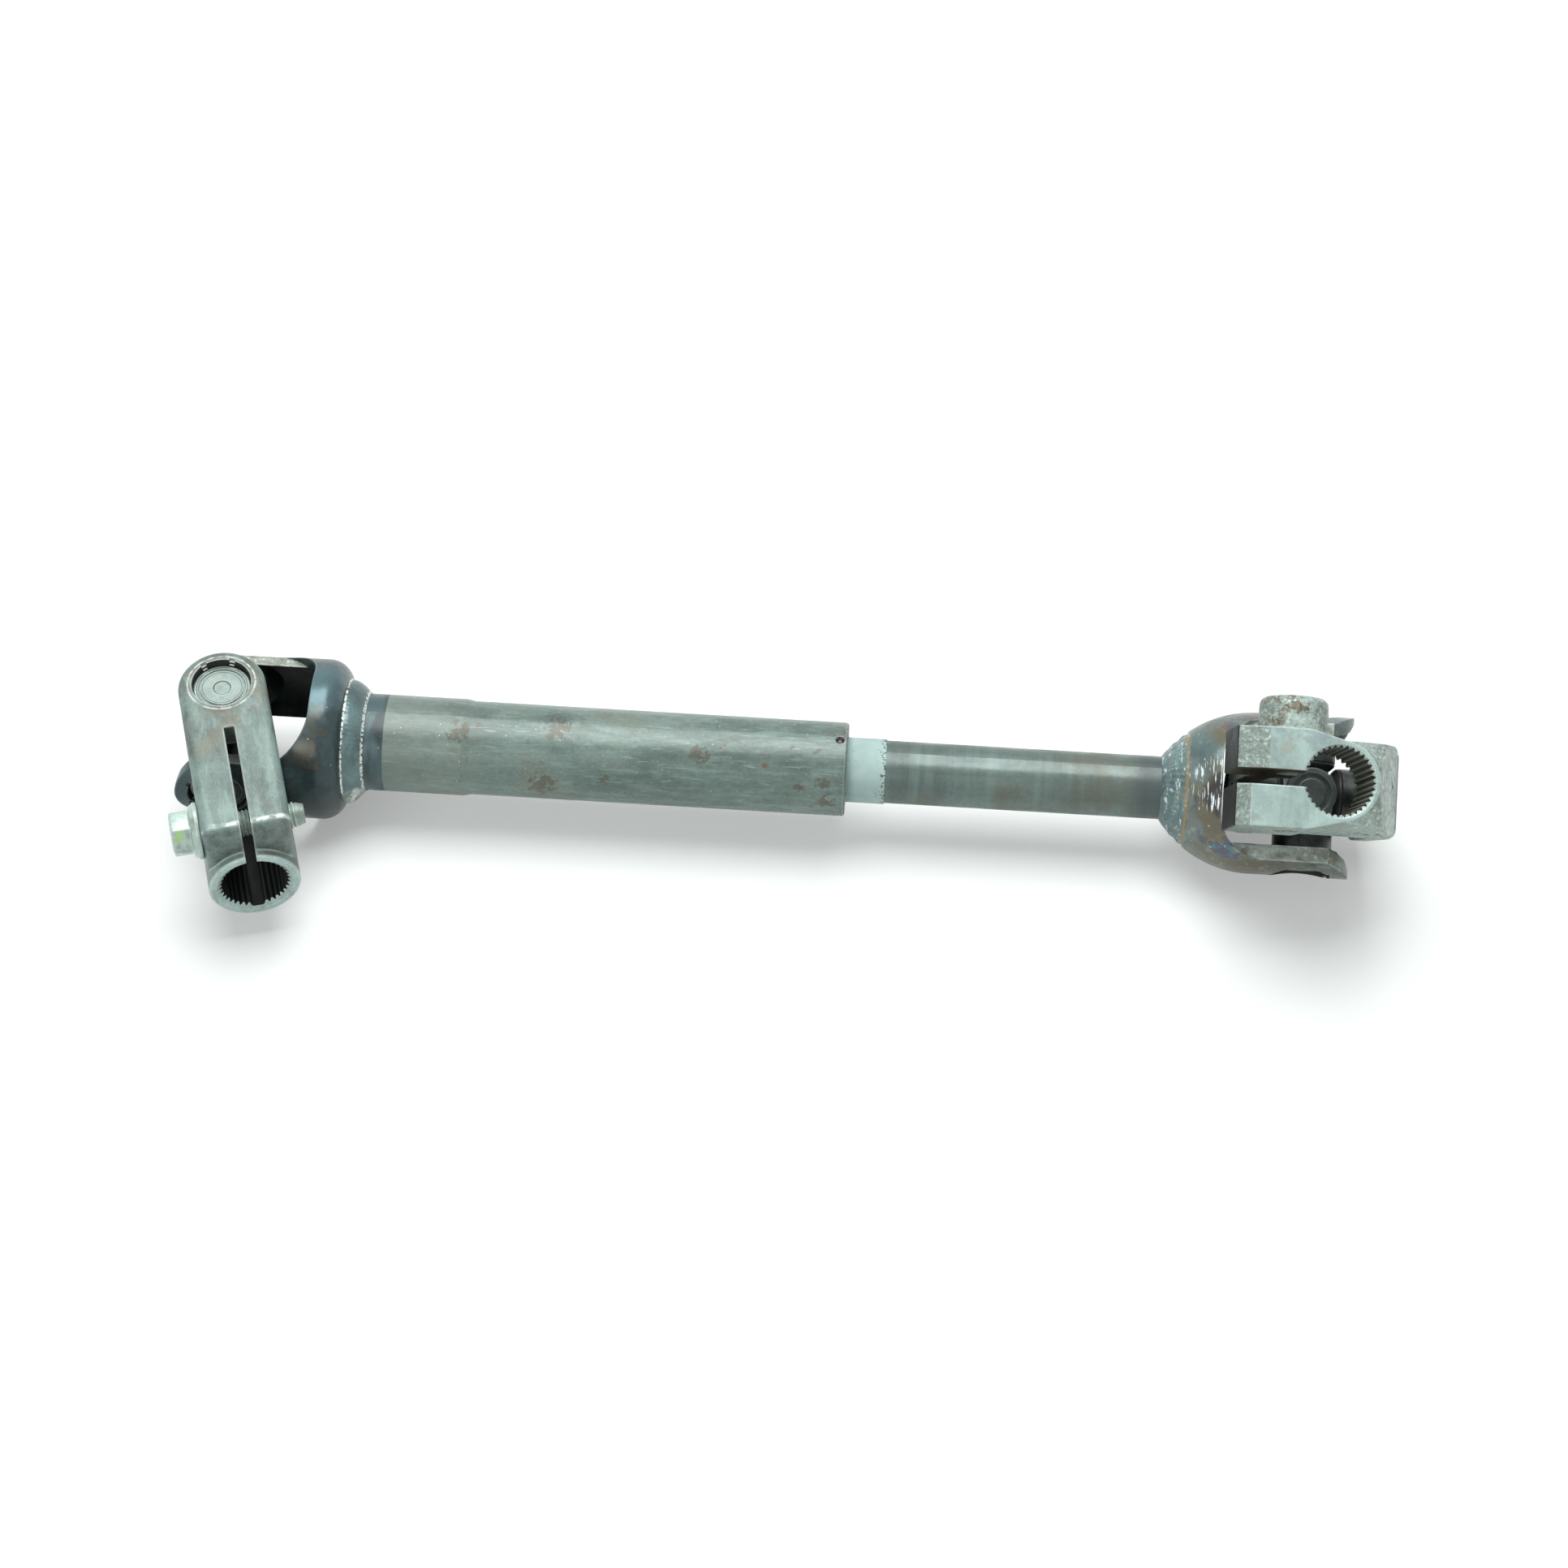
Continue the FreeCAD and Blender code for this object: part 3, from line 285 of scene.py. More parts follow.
def tube_material(looks):
    """Drawn tube: a heat band beside the weld, sliding marks along it, rust near its mouth, painted shade in a
    stake's dimple and a painted highlight on its edges.
    """
    skin = Skin("drawn_tube", 0.1)
    edge = skin.eased(0.7)
    along = skin.axis("X")
    low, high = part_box("outer_tube")
    skin.worn(looks.tube, 30, 0.3, 620, 0.2)
    streaks = skin.noise(230, 7, 0.7, skin.moved(stretch=(0.25, 1.5, 1.5)))
    skin.patch(streaks, 0.46, 0.66, shade(looks.tube, 1.6), 0.6)
    rubs = skin.noise(95, 7, 0.68, skin.moved(stretch=(0.5, 1.2, 1.2)))
    skin.patch(rubs, 0.5, 0.64, shade(looks.tube, 0.55), 0.55)
    hairs = skin.noise(1500, 3, 0.5, skin.moved(stretch=(0.07, 1, 1)))
    skin.patch(hairs, 0.62, 0.68, shade(looks.tube, 2.4), 0.4)
    brown = skin.noise(30, 6, 0.68)
    skin.patch(brown, 0.5, 0.68, (0.16, 0.135, 0.085), 0.45)
    fade = skin.step(along, low.x + 15 * MM, low.x + 70 * MM, 0.4, 0)
    skin.tint(fade, (0.2, 0.235, 0.2))
    band = skin.step(along, low.x + 14.6 * MM, low.x + 15.1 * MM)
    sheen = skin.noise(190, 4, 0.55, skin.moved(stretch=(1, 0.3, 0.3)))
    band_tone = skin.mix(skin.step(sheen, 0.4, 0.62), (0.018, 0.038, 0.041), (0.055, 0.105, 0.11))
    skin.colour = skin.mix(band, band_tone, skin.colour)
    near_mouth = skin.step(along, high.x - 60 * MM, high.x - 8 * MM, 0, 0.06)
    spots = skin.plus(skin.noise(95, 6, 0.7), near_mouth)
    mask = skin.step(spots, 0.64, 0.73, 0, 0.8)
    skin.tint(mask, skin.mix(skin.noise(500), DARK_RUST, RUST))
    for far, turn, radius in TUBE_STAINS:
        angle = math.radians(turn)
        reach = looks.tube_radius * MM
        spot = LEFT_CENTRE + Vector((far * MM, -reach * math.sin(angle), reach * math.cos(angle)))
        stain = skin.near(spot, radius * MM, 1, 420)
        skin.patch(stain, 0.25, 0.6,
                   skin.mix(skin.noise(420, 4), (0.03, 0.027, 0.016), (0.14, 0.115, 0.065)), 0.7)
    # Painted shade in the stake's dimple: a near-black spot.
    dimple_shade = skin.near(LEFT_CENTRE + Vector((229.5, 0, 17.5)) * MM, 2.6 * MM, 0.2, 500)
    skin.patch(dimple_shade, 0.1, 0.4, (0.02, 0.022, 0.02))
    skin.specked(900, 0.71, 0.76, (0.5, 0.58, 0.54))
    # Painted highlight: the tube's sharp edges, its mouth among them, drawn lighter.
    skin.tint(skin.times(edge, 0.9), (0.6, 0.68, 0.65))
    rough = skin.varied(0.26, 0.4, 60, 5)
    rough = skin.plus(rough, skin.times(mask, 0.25))
    skin.bump(skin.noise(900, 4, 0.7), 0.5, 0.07)
    skin.bump(skin.noise(160, 4, 0.6, skin.moved(stretch=(0.35, 1, 1))), 0.3, 0.12)
    return skin.finish(rough)


def shaft_material(looks):
    """Slim shaft: ground steel, browner at its middle, with rings where it was turned."""
    skin = Skin("slim_shaft", 0.2)
    skin.worn(looks.slim, 26, 0.24, 700, 0.16)
    rings = skin.noise(240, 4, 0.6, skin.moved(stretch=(1, 0.05, 0.05)))
    skin.patch(rings, 0.42, 0.75, shade(looks.slim, 1.7), 0.5)
    long_marks = skin.noise(70, 5, 0.62, skin.moved(stretch=(0.12, 2.6, 2.6)))
    skin.patch(long_marks, 0.45, 0.72, shade(looks.slim, 0.55), 0.5)
    brown = skin.noise(40, 6, 0.66)
    skin.patch(brown, 0.5, 0.66, (0.115, 0.105, 0.07), 0.5)
    skin.rusted(150, 0.65, 0.74, 0.6)
    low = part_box("right_weld_bead")[0]
    scorch = skin.step(skin.axis("X"), low.x - 16 * MM, low.x - 5 * MM, 0, 0.75)
    skin.tint(scorch, (0.05, 0.07, 0.072))
    rough = skin.varied(0.22, 0.42, 80, 4)
    skin.bump(rings, 0.3, 0.05)
    skin.bump(skin.noise(1700, 3, 0.6), 0.25, 0.04)
    return skin.finish(rough)


def nylon_material(looks):
    """Sprayed white nylon with dark pits towards its ragged end."""
    skin = Skin("white_nylon", 0, 0.35)
    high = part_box("nylon_coating")[1]
    along = skin.axis("X")
    skin.colour = skin.mix(skin.step(skin.noise(90, 5), 0.35, 0.65), shade(looks.nylon, 0.84),
                           looks.nylon)
    edge = skin.step(along, high.x - 4.2 * MM, high.x, 0, 1, smooth=False)
    pits = skin.noise(1150, 2, 0.5)
    pit = skin.step(skin.plus(skin.times(edge, 0.27), pits), 0.74, 0.79)
    skin.tint(pit, (0.12, 0.14, 0.13))
    skin.bump(skin.noise(700, 4, 0.6), 0.45, 0.1)
    return skin.finish(skin.step(pits, 0.3, 0.7, 0.5, 0.65))


def left_forging_material(looks):
    """Long clamp yoke: smooth blasted skin, streaks along it, light edges that are worn and carry a painted
    highlight, painted highlights on its sides and nose, and mottled painted shade on the nose's front.
    """
    skin = Skin("left_forging", 0.15)
    edge = skin.eased(1.4)
    tone = looks.left_yoke
    where = skin.moved(LEFT_YOKE_PLACE)
    skin.worn(tone, 34, 0.25, 700, 0.16)
    streaks = skin.noise(130, 7, 0.68, skin.moved(LEFT_YOKE_PLACE, (0.22, 1, 0.5)))
    skin.patch(streaks, 0.47, 0.62, shade(tone, 1.5), 0.85)
    # Painted highlight along both sides of the yoke's top face.
    side = skin.math("ABSOLUTE", skin.axis("Y", where))
    bright = skin.noise(60, 5, 0.6, skin.moved(LEFT_YOKE_PLACE, (0.35, 1, 1)))
    side_highlight = skin.times(skin.step(side, 8 * MM, 13 * MM), skin.step(bright, 0.42, 0.6, 0, 0.6))
    skin.tint(side_highlight, shade(tone, 1.75))
    rubbed = skin.noise(75, 7, 0.66, skin.moved(LEFT_YOKE_PLACE, (0.5, 1, 1)))
    skin.patch(rubbed, 0.5, 0.62, shade(tone, 0.52), 0.8)
    brown = skin.noise(42, 6, 0.64)
    skin.patch(brown, 0.5, 0.66, (0.21, 0.185, 0.13), 0.55)
    along = skin.axis("X", where)
    # Painted shade on the nose's front face, mottled with grain.
    front = skin.times(skin.step(along, 66.2 * MM, 68.7 * MM, 0, 0.8),
                       skin.step(skin.round_about(where), 16.9 * MM, 17.3 * MM))
    mottled = skin.step(skin.noise(260, 6, 0.7), 0.35, 0.65)
    skin.tint(front, skin.mix(mottled, (0.045, 0.066, 0.06), (0.16, 0.215, 0.2)))
    # Painted highlight along the top edge of the nose.
    nose_highlight = skin.times(skin.step(along, 64.6 * MM, 65.8 * MM),
                      skin.step(along, 67.4 * MM, 66.3 * MM))
    nose_highlight = skin.times(nose_highlight, skin.step(skin.axis("Z", where), 26 * MM, 27.5 * MM))
    nose_highlight = skin.times(nose_highlight, skin.step(skin.noise(230, 6, 0.7), 0.42, 0.58, 0, 0.9))
    skin.tint(nose_highlight, (0.72, 0.8, 0.76))
    grit = skin.noise(900, 5, 0.75, where)
    skin.patch(grit, 0.6, 0.7, shade(tone, 1.9), 0.6)
    skin.patch(grit, 0.42, 0.33, shade(tone, 0.45), 0.5)
    hairs = skin.noise(2400, 4, 0.6, skin.moved(LEFT_YOKE_PLACE, (0.15, 1, 1)))
    skin.patch(hairs, 0.55, 0.68, shade(tone, 2.2), 0.3)
    pits = skin.noise(420, 3, 0.6)
    skin.patch(pits, 0.68, 0.74, (0.07, 0.072, 0.062), 0.7)
    eye = skin.round_about(skin.moved(LEFT_YOKE_PLACE @ Matrix.Rotation(math.radians(90), 4, "Y")))
    dirty = skin.times(skin.step(eye, 15.6 * MM, 12.6 * MM, 0, 0.75),
                       skin.step(skin.noise(170, 6, 0.7), 0.38, 0.6, 0.1, 1))
    skin.tint(dirty, (0.1, 0.085, 0.06))
    # Painted highlight: a light ring on the raised rim round the eye.
    off = skin.gap(eye, 12.55 * MM)
    outline = skin.times(skin.step(off, 0.5 * MM, 0.2 * MM),
                         skin.step(skin.noise(300, 4), 0.36, 0.55, 0.2, 1))
    skin.tint(outline, (0.5, 0.57, 0.53))
    # Edges drawn lighter: worn bare, and a painted highlight.
    bright_edge = skin.times(edge, skin.step(skin.noise(140, 5), 0.32, 0.5, 0.3, 1))
    skin.tint(bright_edge, (0.76, 0.84, 0.8))
    skin.rusted(190, 0.64, 0.72, 0.65)
    rough = skin.varied(0.32, 0.52, 90, 5)
    skin.bump(skin.noise(320, 5, 0.65, where), 0.45, 0.2)
    skin.bump(grit, 0.5, 0.08)
    return skin.finish(rough)


def right_forging_material(looks):
    """Short clamp yoke: pebbled casting skin with painted glitter, brown rust on its boss, painted shade towards
    its lugs' end and a painted shadow at that end.
    """
    skin = Skin("right_forging", 0.2)
    edge = skin.eased(1)
    tone = looks.right_yoke
    where = skin.moved(RIGHT_YOKE_PLACE)
    skin.worn(tone, 60, 0.25, 600, 0.2)
    grit = skin.noise(640, 6, 0.8, where)
    skin.patch(grit, 0.47, 0.35, shade(tone, 0.34), 0.8)
    # Painted glitter: the grain's brightest specks.
    skin.patch(grit, 0.54, 0.62, shade(tone, 2.3))
    # Painted shade: darker towards the end of the lugs, near the bell.
    lug_shade = skin.step(skin.axis("Z", where), -15 * MM, -31 * MM, 0, 0.75)
    lug_shade = skin.times(lug_shade, skin.step(grit, 0.36, 0.6, 1, 0.45))
    skin.tint(lug_shade, shade(tone, 0.42))
    boss = skin.step(skin.axis("Y", where), -17.5 * MM, -19.5 * MM, 0, 0.075)
    stain = skin.plus(skin.noise(150, 7, 0.75, where), boss)
    mask = skin.step(stain, 0.58, 0.66, 0, 0.85)
    rust = skin.mix(skin.step(skin.noise(700, 3), 0.4, 0.6), (0.06, 0.045, 0.028),
                    (0.21, 0.165, 0.1))
    skin.tint(mask, rust)
    # Worn edges, drawn lighter.
    bright_edge = skin.times(edge, skin.step(skin.noise(200, 5), 0.3, 0.55, 0.15, 0.9))
    skin.tint(bright_edge, (0.66, 0.73, 0.69))
    # Painted shadow: near-black on the rounded end of the lugs.
    scale = skin.times(skin.step(skin.axis("Z", where), -35 * MM, -36.2 * MM),
                       skin.step(skin.axis("X", where), 54.8 * MM, 53.2 * MM, 0, 0.97))
    skin.tint(scale, (0.008, 0.01, 0.01))
    rough = skin.plus(skin.step(grit, 0.35, 0.65, 0.55, 0.22), skin.times(mask, 0.25))
    skin.bump(skin.noise(300, 4, 0.6, where), 0.5, 0.25)
    skin.bump(grit, 0.8, 0.16)
    return skin.finish(rough)


def machined_material(name, tone, matrix, tool_marks):
    """A cut face: faint arcs of the tool, stains, nicked light borders."""
    skin = Skin(name, 0.2)
    edge = skin.eased(1)
    where = skin.moved(matrix)
    skin.worn(tone, 60, 0.18, 900, 0.1)
    arcs = skin.noise(tool_marks, 3, 0.6, skin.moved(matrix, (1, 0.2, 1)))
    skin.patch(arcs, 0.4, 0.75, shade(tone, 1.35), 0.3)
    smear = skin.noise(75, 6, 0.66, where)
    skin.patch(smear, 0.52, 0.64, (0.24, 0.3, 0.315), 0.55)
    cloud = skin.noise(120, 6, 0.66, where)
    skin.patch(cloud, 0.55, 0.66, (0.34, 0.34, 0.28), 0.5)
    mask = skin.rusted(150, 0.67, 0.73, 0.6)
    nicked = skin.times(edge, skin.step(skin.noise(330, 4), 0.38, 0.55, 0.25, 1))
    skin.tint(nicked, (0.82, 0.9, 0.87))
    skin.bump(arcs, 0.12, 0.05)
    skin.bump(skin.noise(1200, 3), 0.2, 0.03)
    rough = skin.plus(skin.varied(0.24, 0.42, 120, 5), skin.times(mask, 0.3))
    return skin.finish(rough)


def bore_material(name, tone, matrix, light):
    """Broached bore: dark, with each tooth's crest a little lighter along its length."""
    skin = Skin(name, 0.2)
    where = skin.moved(matrix)
    crest = skin.step(skin.round_about(where), 12.5 * MM, 12.1 * MM, 0, light)
    lines = skin.noise(500, 3, 0.6, skin.moved(matrix, (0.08, 1, 1)))
    skin.colour = skin.mix(lines, shade(tone, 0.5), shade(tone, 1.5))
    skin.tint(crest, shade(tone, 4))
    skin.bump(lines, 0.3, 0.05)
    return skin.finish(skin.step(lines, 0.3, 0.7, 0.4, 0.6))


def shadowed_material(name, tone):
    """A given dark tone with lighter scrapes: painted shade inside the bells, the eyes, the left slit and on the
    lugs' end; on the right slit, its wall's own brown.
    """
    skin = Skin(name, 0.2, 0.3)
    scale = skin.noise(110, 5, 0.65)
    skin.colour = skin.mix(skin.step(scale, 0.35, 0.7), shade(tone, 0.55), shade(tone, 1.6))
    scrapes = skin.noise(300, 5, 0.7, skin.moved(stretch=(0.4, 1, 1)))
    skin.patch(scrapes, 0.66, 0.76, shade(tone, 4), 0.3)
    skin.bump(skin.noise(500, 4), 0.3, 0.08)
    return skin.finish(skin.step(scale, 0.3, 0.7, 0.4, 0.6))


def heat_spot(skin, centre, radius, share):
    """Rings of straw, purple and blue where a bell was hottest."""
    heat = skin.near(centre, radius, 0.8, 130)
    tints = skin.ramp(heat,
                      [(0, (0.16, 0.17, 0.13)), (0.25, (0.27, 0.22, 0.12)),
                       (0.42, (0.13, 0.09, 0.115)), (0.58, (0.05, 0.11, 0.2)),
                       (0.78, (0.09, 0.2, 0.27)), (1, (0.22, 0.25, 0.2))])
    skin.patch(heat, 0.08, 0.4, tints, share)


def left_bell_material(looks):
    """Left bell: smooth blued steel, brown where it was heated, with a few white specks, a painted highlight on
    its top and painted shade lower down.
    """
    skin = Skin("left_bell", 0.35, 0.35)
    edge = skin.eased(1)
    tone = looks.left_bell
    skin.worn(tone, 26, 0.35, 700, 0.1)
    cloud = skin.noise(48, 5, 0.55)
    skin.patch(cloud, 0.48, 0.66, (0.1, 0.16, 0.172), 0.7)
    skin.patch(cloud, 0.44, 0.33, (0.022, 0.032, 0.034), 0.8)
    # Painted highlight on the top of the bell.
    bell_highlight = skin.near(LEFT_CENTRE + Vector((33, 2, 29)) * MM, 17 * MM, 0.3, 100)
    skin.patch(bell_highlight, 0.1, 0.7, (0.11, 0.2, 0.22), 0.7)
    for place, radius, share in (((30.8, -23.8, 18.3), 11, 0.6), ((24, -29, 6), 9, 0.5),
                                 ((36, -12, 26), 9, 0.35)):
        spot = LEFT_CENTRE + Vector(place) * MM
        brown = skin.near(spot, radius * MM, 0.7, 130)
        skin.patch(brown, 0.1, 0.6,
                   skin.mix(skin.step(brown, 0.3, 0.8), (0.03, 0.034, 0.045), (0.105, 0.085, 0.05)),
                   share)
    # Painted shade: darker towards the bottom of the bell.
    under = skin.step(skin.axis("Z"), LEFT_CENTRE.z + 16 * MM, LEFT_CENTRE.z - 8 * MM, 0, 0.6)
    skin.tint(under, (0.035, 0.05, 0.05))
    skin.specked(420, 0.755, 0.79, (0.75, 0.85, 0.85))
    skin.specked(1300, 0.72, 0.78, (0.25, 0.33, 0.34))
    skin.tint(skin.times(edge, 0.6), (0.36, 0.44, 0.43))
    rough = skin.step(cloud, 0.3, 0.7, 0.34, 0.22)
    skin.bump(skin.noise(90, 3, 0.5), 0.4, 0.3)
    skin.bump(skin.noise(1000, 3, 0.6), 0.15, 0.05)
    return skin.finish(rough)


def right_bell_material(looks):
    """Right bell: grey and olive scale, scratched, the scratches drawn as painted glints, with heat colours at its
    rim.
    """
    skin = Skin("right_bell", 0.3)
    edge = skin.eased(1.1)
    tone = looks.right_bell
    skin.worn(tone, 40, 0.3, 700, 0.16)
    olive = skin.noise(38, 6, 0.64)
    front = skin.step(skin.axis("Y"), RIGHT_CENTRE.y - 8 * MM, RIGHT_CENTRE.y - 24 * MM, 0, 0.1)
    olive = skin.plus(olive, front)
    skin.patch(olive, 0.43, 0.6, (0.15, 0.13, 0.08), 0.85)
    blue = skin.noise(55, 4, 0.6, skin.moved(Matrix.Translation((0.31, 0.17, 0.23))))
    skin.patch(blue, 0.52, 0.64, (0.17, 0.22, 0.22), 0.65)
    silver = skin.noise(130, 7, 0.72)
    skin.patch(silver, 0.56, 0.66, (0.36, 0.42, 0.38), 0.5)
    soot = skin.noise(70, 6, 0.66)
    skin.patch(soot, 0.46, 0.34, (0.05, 0.058, 0.055), 0.75)
    shadow = skin.near(RIGHT_CENTRE + Vector((-31, -18, 21)) * MM, 12 * MM, 0.3, 80)
    skin.patch(shadow, 0.1, 0.5, (0.024, 0.02, 0.026), 0.92)
    heat_spot(skin, RIGHT_CENTRE + Vector((-28, -29.6, 5)) * MM, 11 * MM, 0.75)
    heat_spot(skin, RIGHT_CENTRE + Vector((-25, 11, 27)) * MM, 11 * MM, 0.5)
    # Scratches near the saddle, drawn bright as painted glints.
    scratches = skin.noise(1500, 3, 0.5, skin.moved(stretch=(1.2, 0.12, 0.12)))
    rubbed = skin.near(RIGHT_CENTRE + Vector((-34, -14, 23)) * MM, 14 * MM, 0.3, 120)
    skin.tint(skin.times(skin.step(scratches, 0.56, 0.62), skin.step(rubbed, 0.1, 0.5)),
              (0.72, 0.83, 0.82))
    skin.specked(600, 0.7, 0.76, (0.5, 0.56, 0.53))
    mask = skin.rusted(230, 0.64, 0.73, 0.7)
    skin.tint(skin.times(edge, skin.step(silver, 0.4, 0.6, 0, 0.8)), (0.6, 0.64, 0.56))
    rough = skin.plus(skin.varied(0.2, 0.4, 60, 4), skin.times(mask, 0.3))
    skin.bump(skin.noise(150, 4, 0.55), 0.5, 0.35)
    skin.bump(skin.noise(900, 3, 0.6), 0.3, 0.07)
    return skin.finish(rough)


def left_weld_material(looks):
    """Left weld: blued like the bell, a dotted line of painted glints at each toe, pearly where it ends."""
    skin = Skin("left_weld", 0.4)
    tone = looks.weld
    skin.worn(tone, 70, 0.3, 900, 0.15)
    cloud = skin.noise(80, 5, 0.6, skin.moved(stretch=(1, 0.5, 0.5)))
    skin.patch(cloud, 0.5, 0.68, (0.24, 0.34, 0.35), 0.6)
    low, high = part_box("left_weld_bead")
    along = skin.axis("X")
    dots = skin.noise(900, 3, 0.6)
    for toe in (low.x + 0.1 * MM, high.x - 0.2 * MM):
        off = skin.gap(along, toe)
        line = skin.step(off, 0.6 * MM, 0.25 * MM)
        # Painted glints: bright dots along each toe.
        skin.tint(skin.times(line, skin.step(dots, 0.43, 0.53)), (0.72, 0.76, 0.7))
        skin.tint(skin.times(line, skin.step(dots, 0.42, 0.36, 0, 0.8)), (0.07, 0.06, 0.045))
    end = skin.near(weld_end(), 9 * MM, 0.25, 200)
    skin.patch(end, 0.15, 0.5,
               skin.mix(skin.step(skin.noise(330, 4), 0.4, 0.6), (0.2, 0.24, 0.22),
                        (0.62, 0.68, 0.62)), 0.85)
    skin.bump(skin.noise(300, 4, 0.6), 0.35, 0.15)
    return skin.finish(skin.varied(0.24, 0.4, 120))


def right_weld_material(looks):
    """Right weld: pebbled, with painted glints on its ripples and painted shade between them, and a rusty line
    where it meets the bell.
    """
    skin = Skin("right_weld", 0.3)
    tone = shade(looks.weld, 1.25)
    skin.worn(tone, 90, 0.25, 900, 0.15)
    beads = skin.noise(560, 5, 0.65, skin.moved(stretch=(1.4, 0.5, 0.5)))
    # Painted glints on the crests of the ripples.
    skin.patch(beads, 0.57, 0.64, (0.72, 0.8, 0.76), 0.85)
    # Painted shade in the hollows between the ripples.
    skin.patch(beads, 0.44, 0.34, (0.08, 0.092, 0.088), 0.5)
    olive = skin.noise(70, 5, 0.6)
    skin.patch(olive, 0.5, 0.64, (0.19, 0.165, 0.1), 0.55)
    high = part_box("right_weld_bead")[1]
    along = skin.axis("X")
    toe = skin.step(along, high.x - 2.2 * MM, high.x - 0.4 * MM, 0, 0.12)
    stain = skin.plus(skin.noise(150, 6, 0.7), toe)
    skin.patch(stain, 0.6, 0.7, skin.mix(skin.noise(500), (0.11, 0.08, 0.045), (0.26, 0.19, 0.1)),
               0.8)
    seam = skin.gap(along, high.x - 1 * MM)
    skin.tint(skin.times(skin.step(seam, 0.9 * MM, 0.2 * MM),
                         skin.step(stain, 0.35, 0.6, 0.1, 0.95)), (0.27, 0.21, 0.11))
    skin.bump(beads, 0.5, 0.2)
    skin.bump(skin.noise(1000, 3, 0.6), 0.4, 0.08)
    return skin.finish(skin.varied(0.2, 0.4, 200))


def cross_material(looks):
    """Dark forging of the cross, with a painted highlight on its edges."""
    skin = Skin("forged_cross", 0.4)
    edge = skin.eased(0.6)
    skin.worn(looks.cross, 90, 0.25, 800, 0.18)
    skin.rusted(200, 0.68, 0.76, 0.5)
    # Painted highlight on the edges.
    skin.tint(skin.times(edge, 0.8), (0.36, 0.43, 0.41))
    skin.bump(skin.noise(600, 4, 0.6), 0.4, 0.1)
    return skin.finish(skin.varied(0.3, 0.5, 150))


def cup_material(name, tone, matrix):
    """Drawn bearing cup: light, with pressed rings drawn as painted shade and highlight, and rusty stains at its
    rim.
    """
    skin = Skin(name, 0.4)
    edge = skin.eased(0.4)
    skin.worn(tone, 100, 0.16, 1200, 0.1)
    around = skin.round_about(skin.moved(matrix))
    # Each pressed ring: a line of painted shade with a painted highlight beside it.
    for radius in (3.2, 7.4, 9.5):
        dark = skin.step(skin.gap(around, radius * MM), 0.35 * MM, 0.12 * MM, 0, 0.75)
        skin.tint(dark, shade(tone, 0.3))
        light = skin.step(skin.gap(around, (radius + 0.4) * MM), 0.3 * MM, 0.1 * MM, 0, 0.7)
        skin.tint(light, shade(tone, 1.6))
    grime = skin.noise(170, 5, 0.65)
    skin.patch(grime, 0.52, 0.7, (0.2, 0.2, 0.155), 0.4)
    skin.rusted(330, 0.6, 0.68, 0.8)
    skin.specked(900, 0.72, 0.78)
    skin.tint(skin.times(edge, 0.75),
              skin.mix(skin.step(grime, 0.4, 0.6), (0.7, 0.78, 0.74), (0.14, 0.14, 0.11)))
    skin.bump(skin.noise(900, 4), 0.25, 0.06)
    return skin.finish(skin.varied(0.28, 0.42, 200))


def cup_wall_material(looks):
    """Cup's side wall, deep in the yoke: painted shade, near-black and uneven."""
    skin = Skin("cup_wall", 0.3)
    # Painted shade: two near-black tones, mixed unevenly.
    wall_shade = skin.noise(220, 5, 0.6)
    skin.colour = skin.mix(skin.step(wall_shade, 0.35, 0.65), shade(looks.cup, 0.07),
                           shade(looks.cup, 0.2))
    skin.bump(skin.noise(700, 4), 0.2, 0.05)
    return skin.finish(skin.step(wall_shade, 0.3, 0.7, 0.25, 0.45))


def cup_lip_material():
    """Cup's open lip, brassy with old grease."""
    skin = Skin("cup_lip", 0.5)
    grease = skin.noise(320, 4, 0.6)
    skin.colour = skin.mix(skin.step(grease, 0.35, 0.65), (0.2, 0.17, 0.09), (0.42, 0.37, 0.2))
    skin.bump(grease, 0.2, 0.05)
    return skin.finish(skin.step(grease, 0.3, 0.7, 0.2, 0.4))


def milled_rim_material(name, tone):
    """Side of a bell's ear: sawn bare, browned, with bright nicks along its edges."""
    skin = Skin(name, 0.25)
    edge = skin.eased(1.2)
    skin.worn(tone, 70, 0.3, 700, 0.2)
    brown = skin.noise(110, 6, 0.68)
    skin.patch(brown, 0.52, 0.62, (0.13, 0.11, 0.08), 0.6)
    nicks = skin.noise(420, 5, 0.7)
    skin.patch(nicks, 0.57, 0.65, (0.6, 0.68, 0.63))
    nicked = skin.times(edge, skin.step(skin.noise(300, 4), 0.4, 0.55, 0.2, 1))
    skin.tint(nicked, (0.78, 0.84, 0.78))
    skin.bump(nicks, 0.5, 0.15)
    return skin.finish(skin.step(brown, 0.3, 0.7, 0.25, 0.5))


def rubber_material(looks):
    """Black seal, dusty."""
    skin = Skin("seal_rubber", 0, 0.4)
    skin.colour = skin.mix(skin.noise(400, 5, 0.6), looks.rubber, shade(looks.rubber, 3))
    skin.bump(skin.noise(900, 3), 0.2, 0.05)
    return skin.finish(skin.varied(0.4, 0.6, 250))


def bolt_place(looks, across):
    """Frame of the clamp bolt, with X along it, at a distance across its yoke."""
    spot = (looks.bolt_up * MM, across * MM, looks.bolt_offset * MM)
    return LEFT_YOKE_PLACE @ Matrix.Translation(spot) @ Matrix.Rotation(math.pi / 2, 4, "Z")


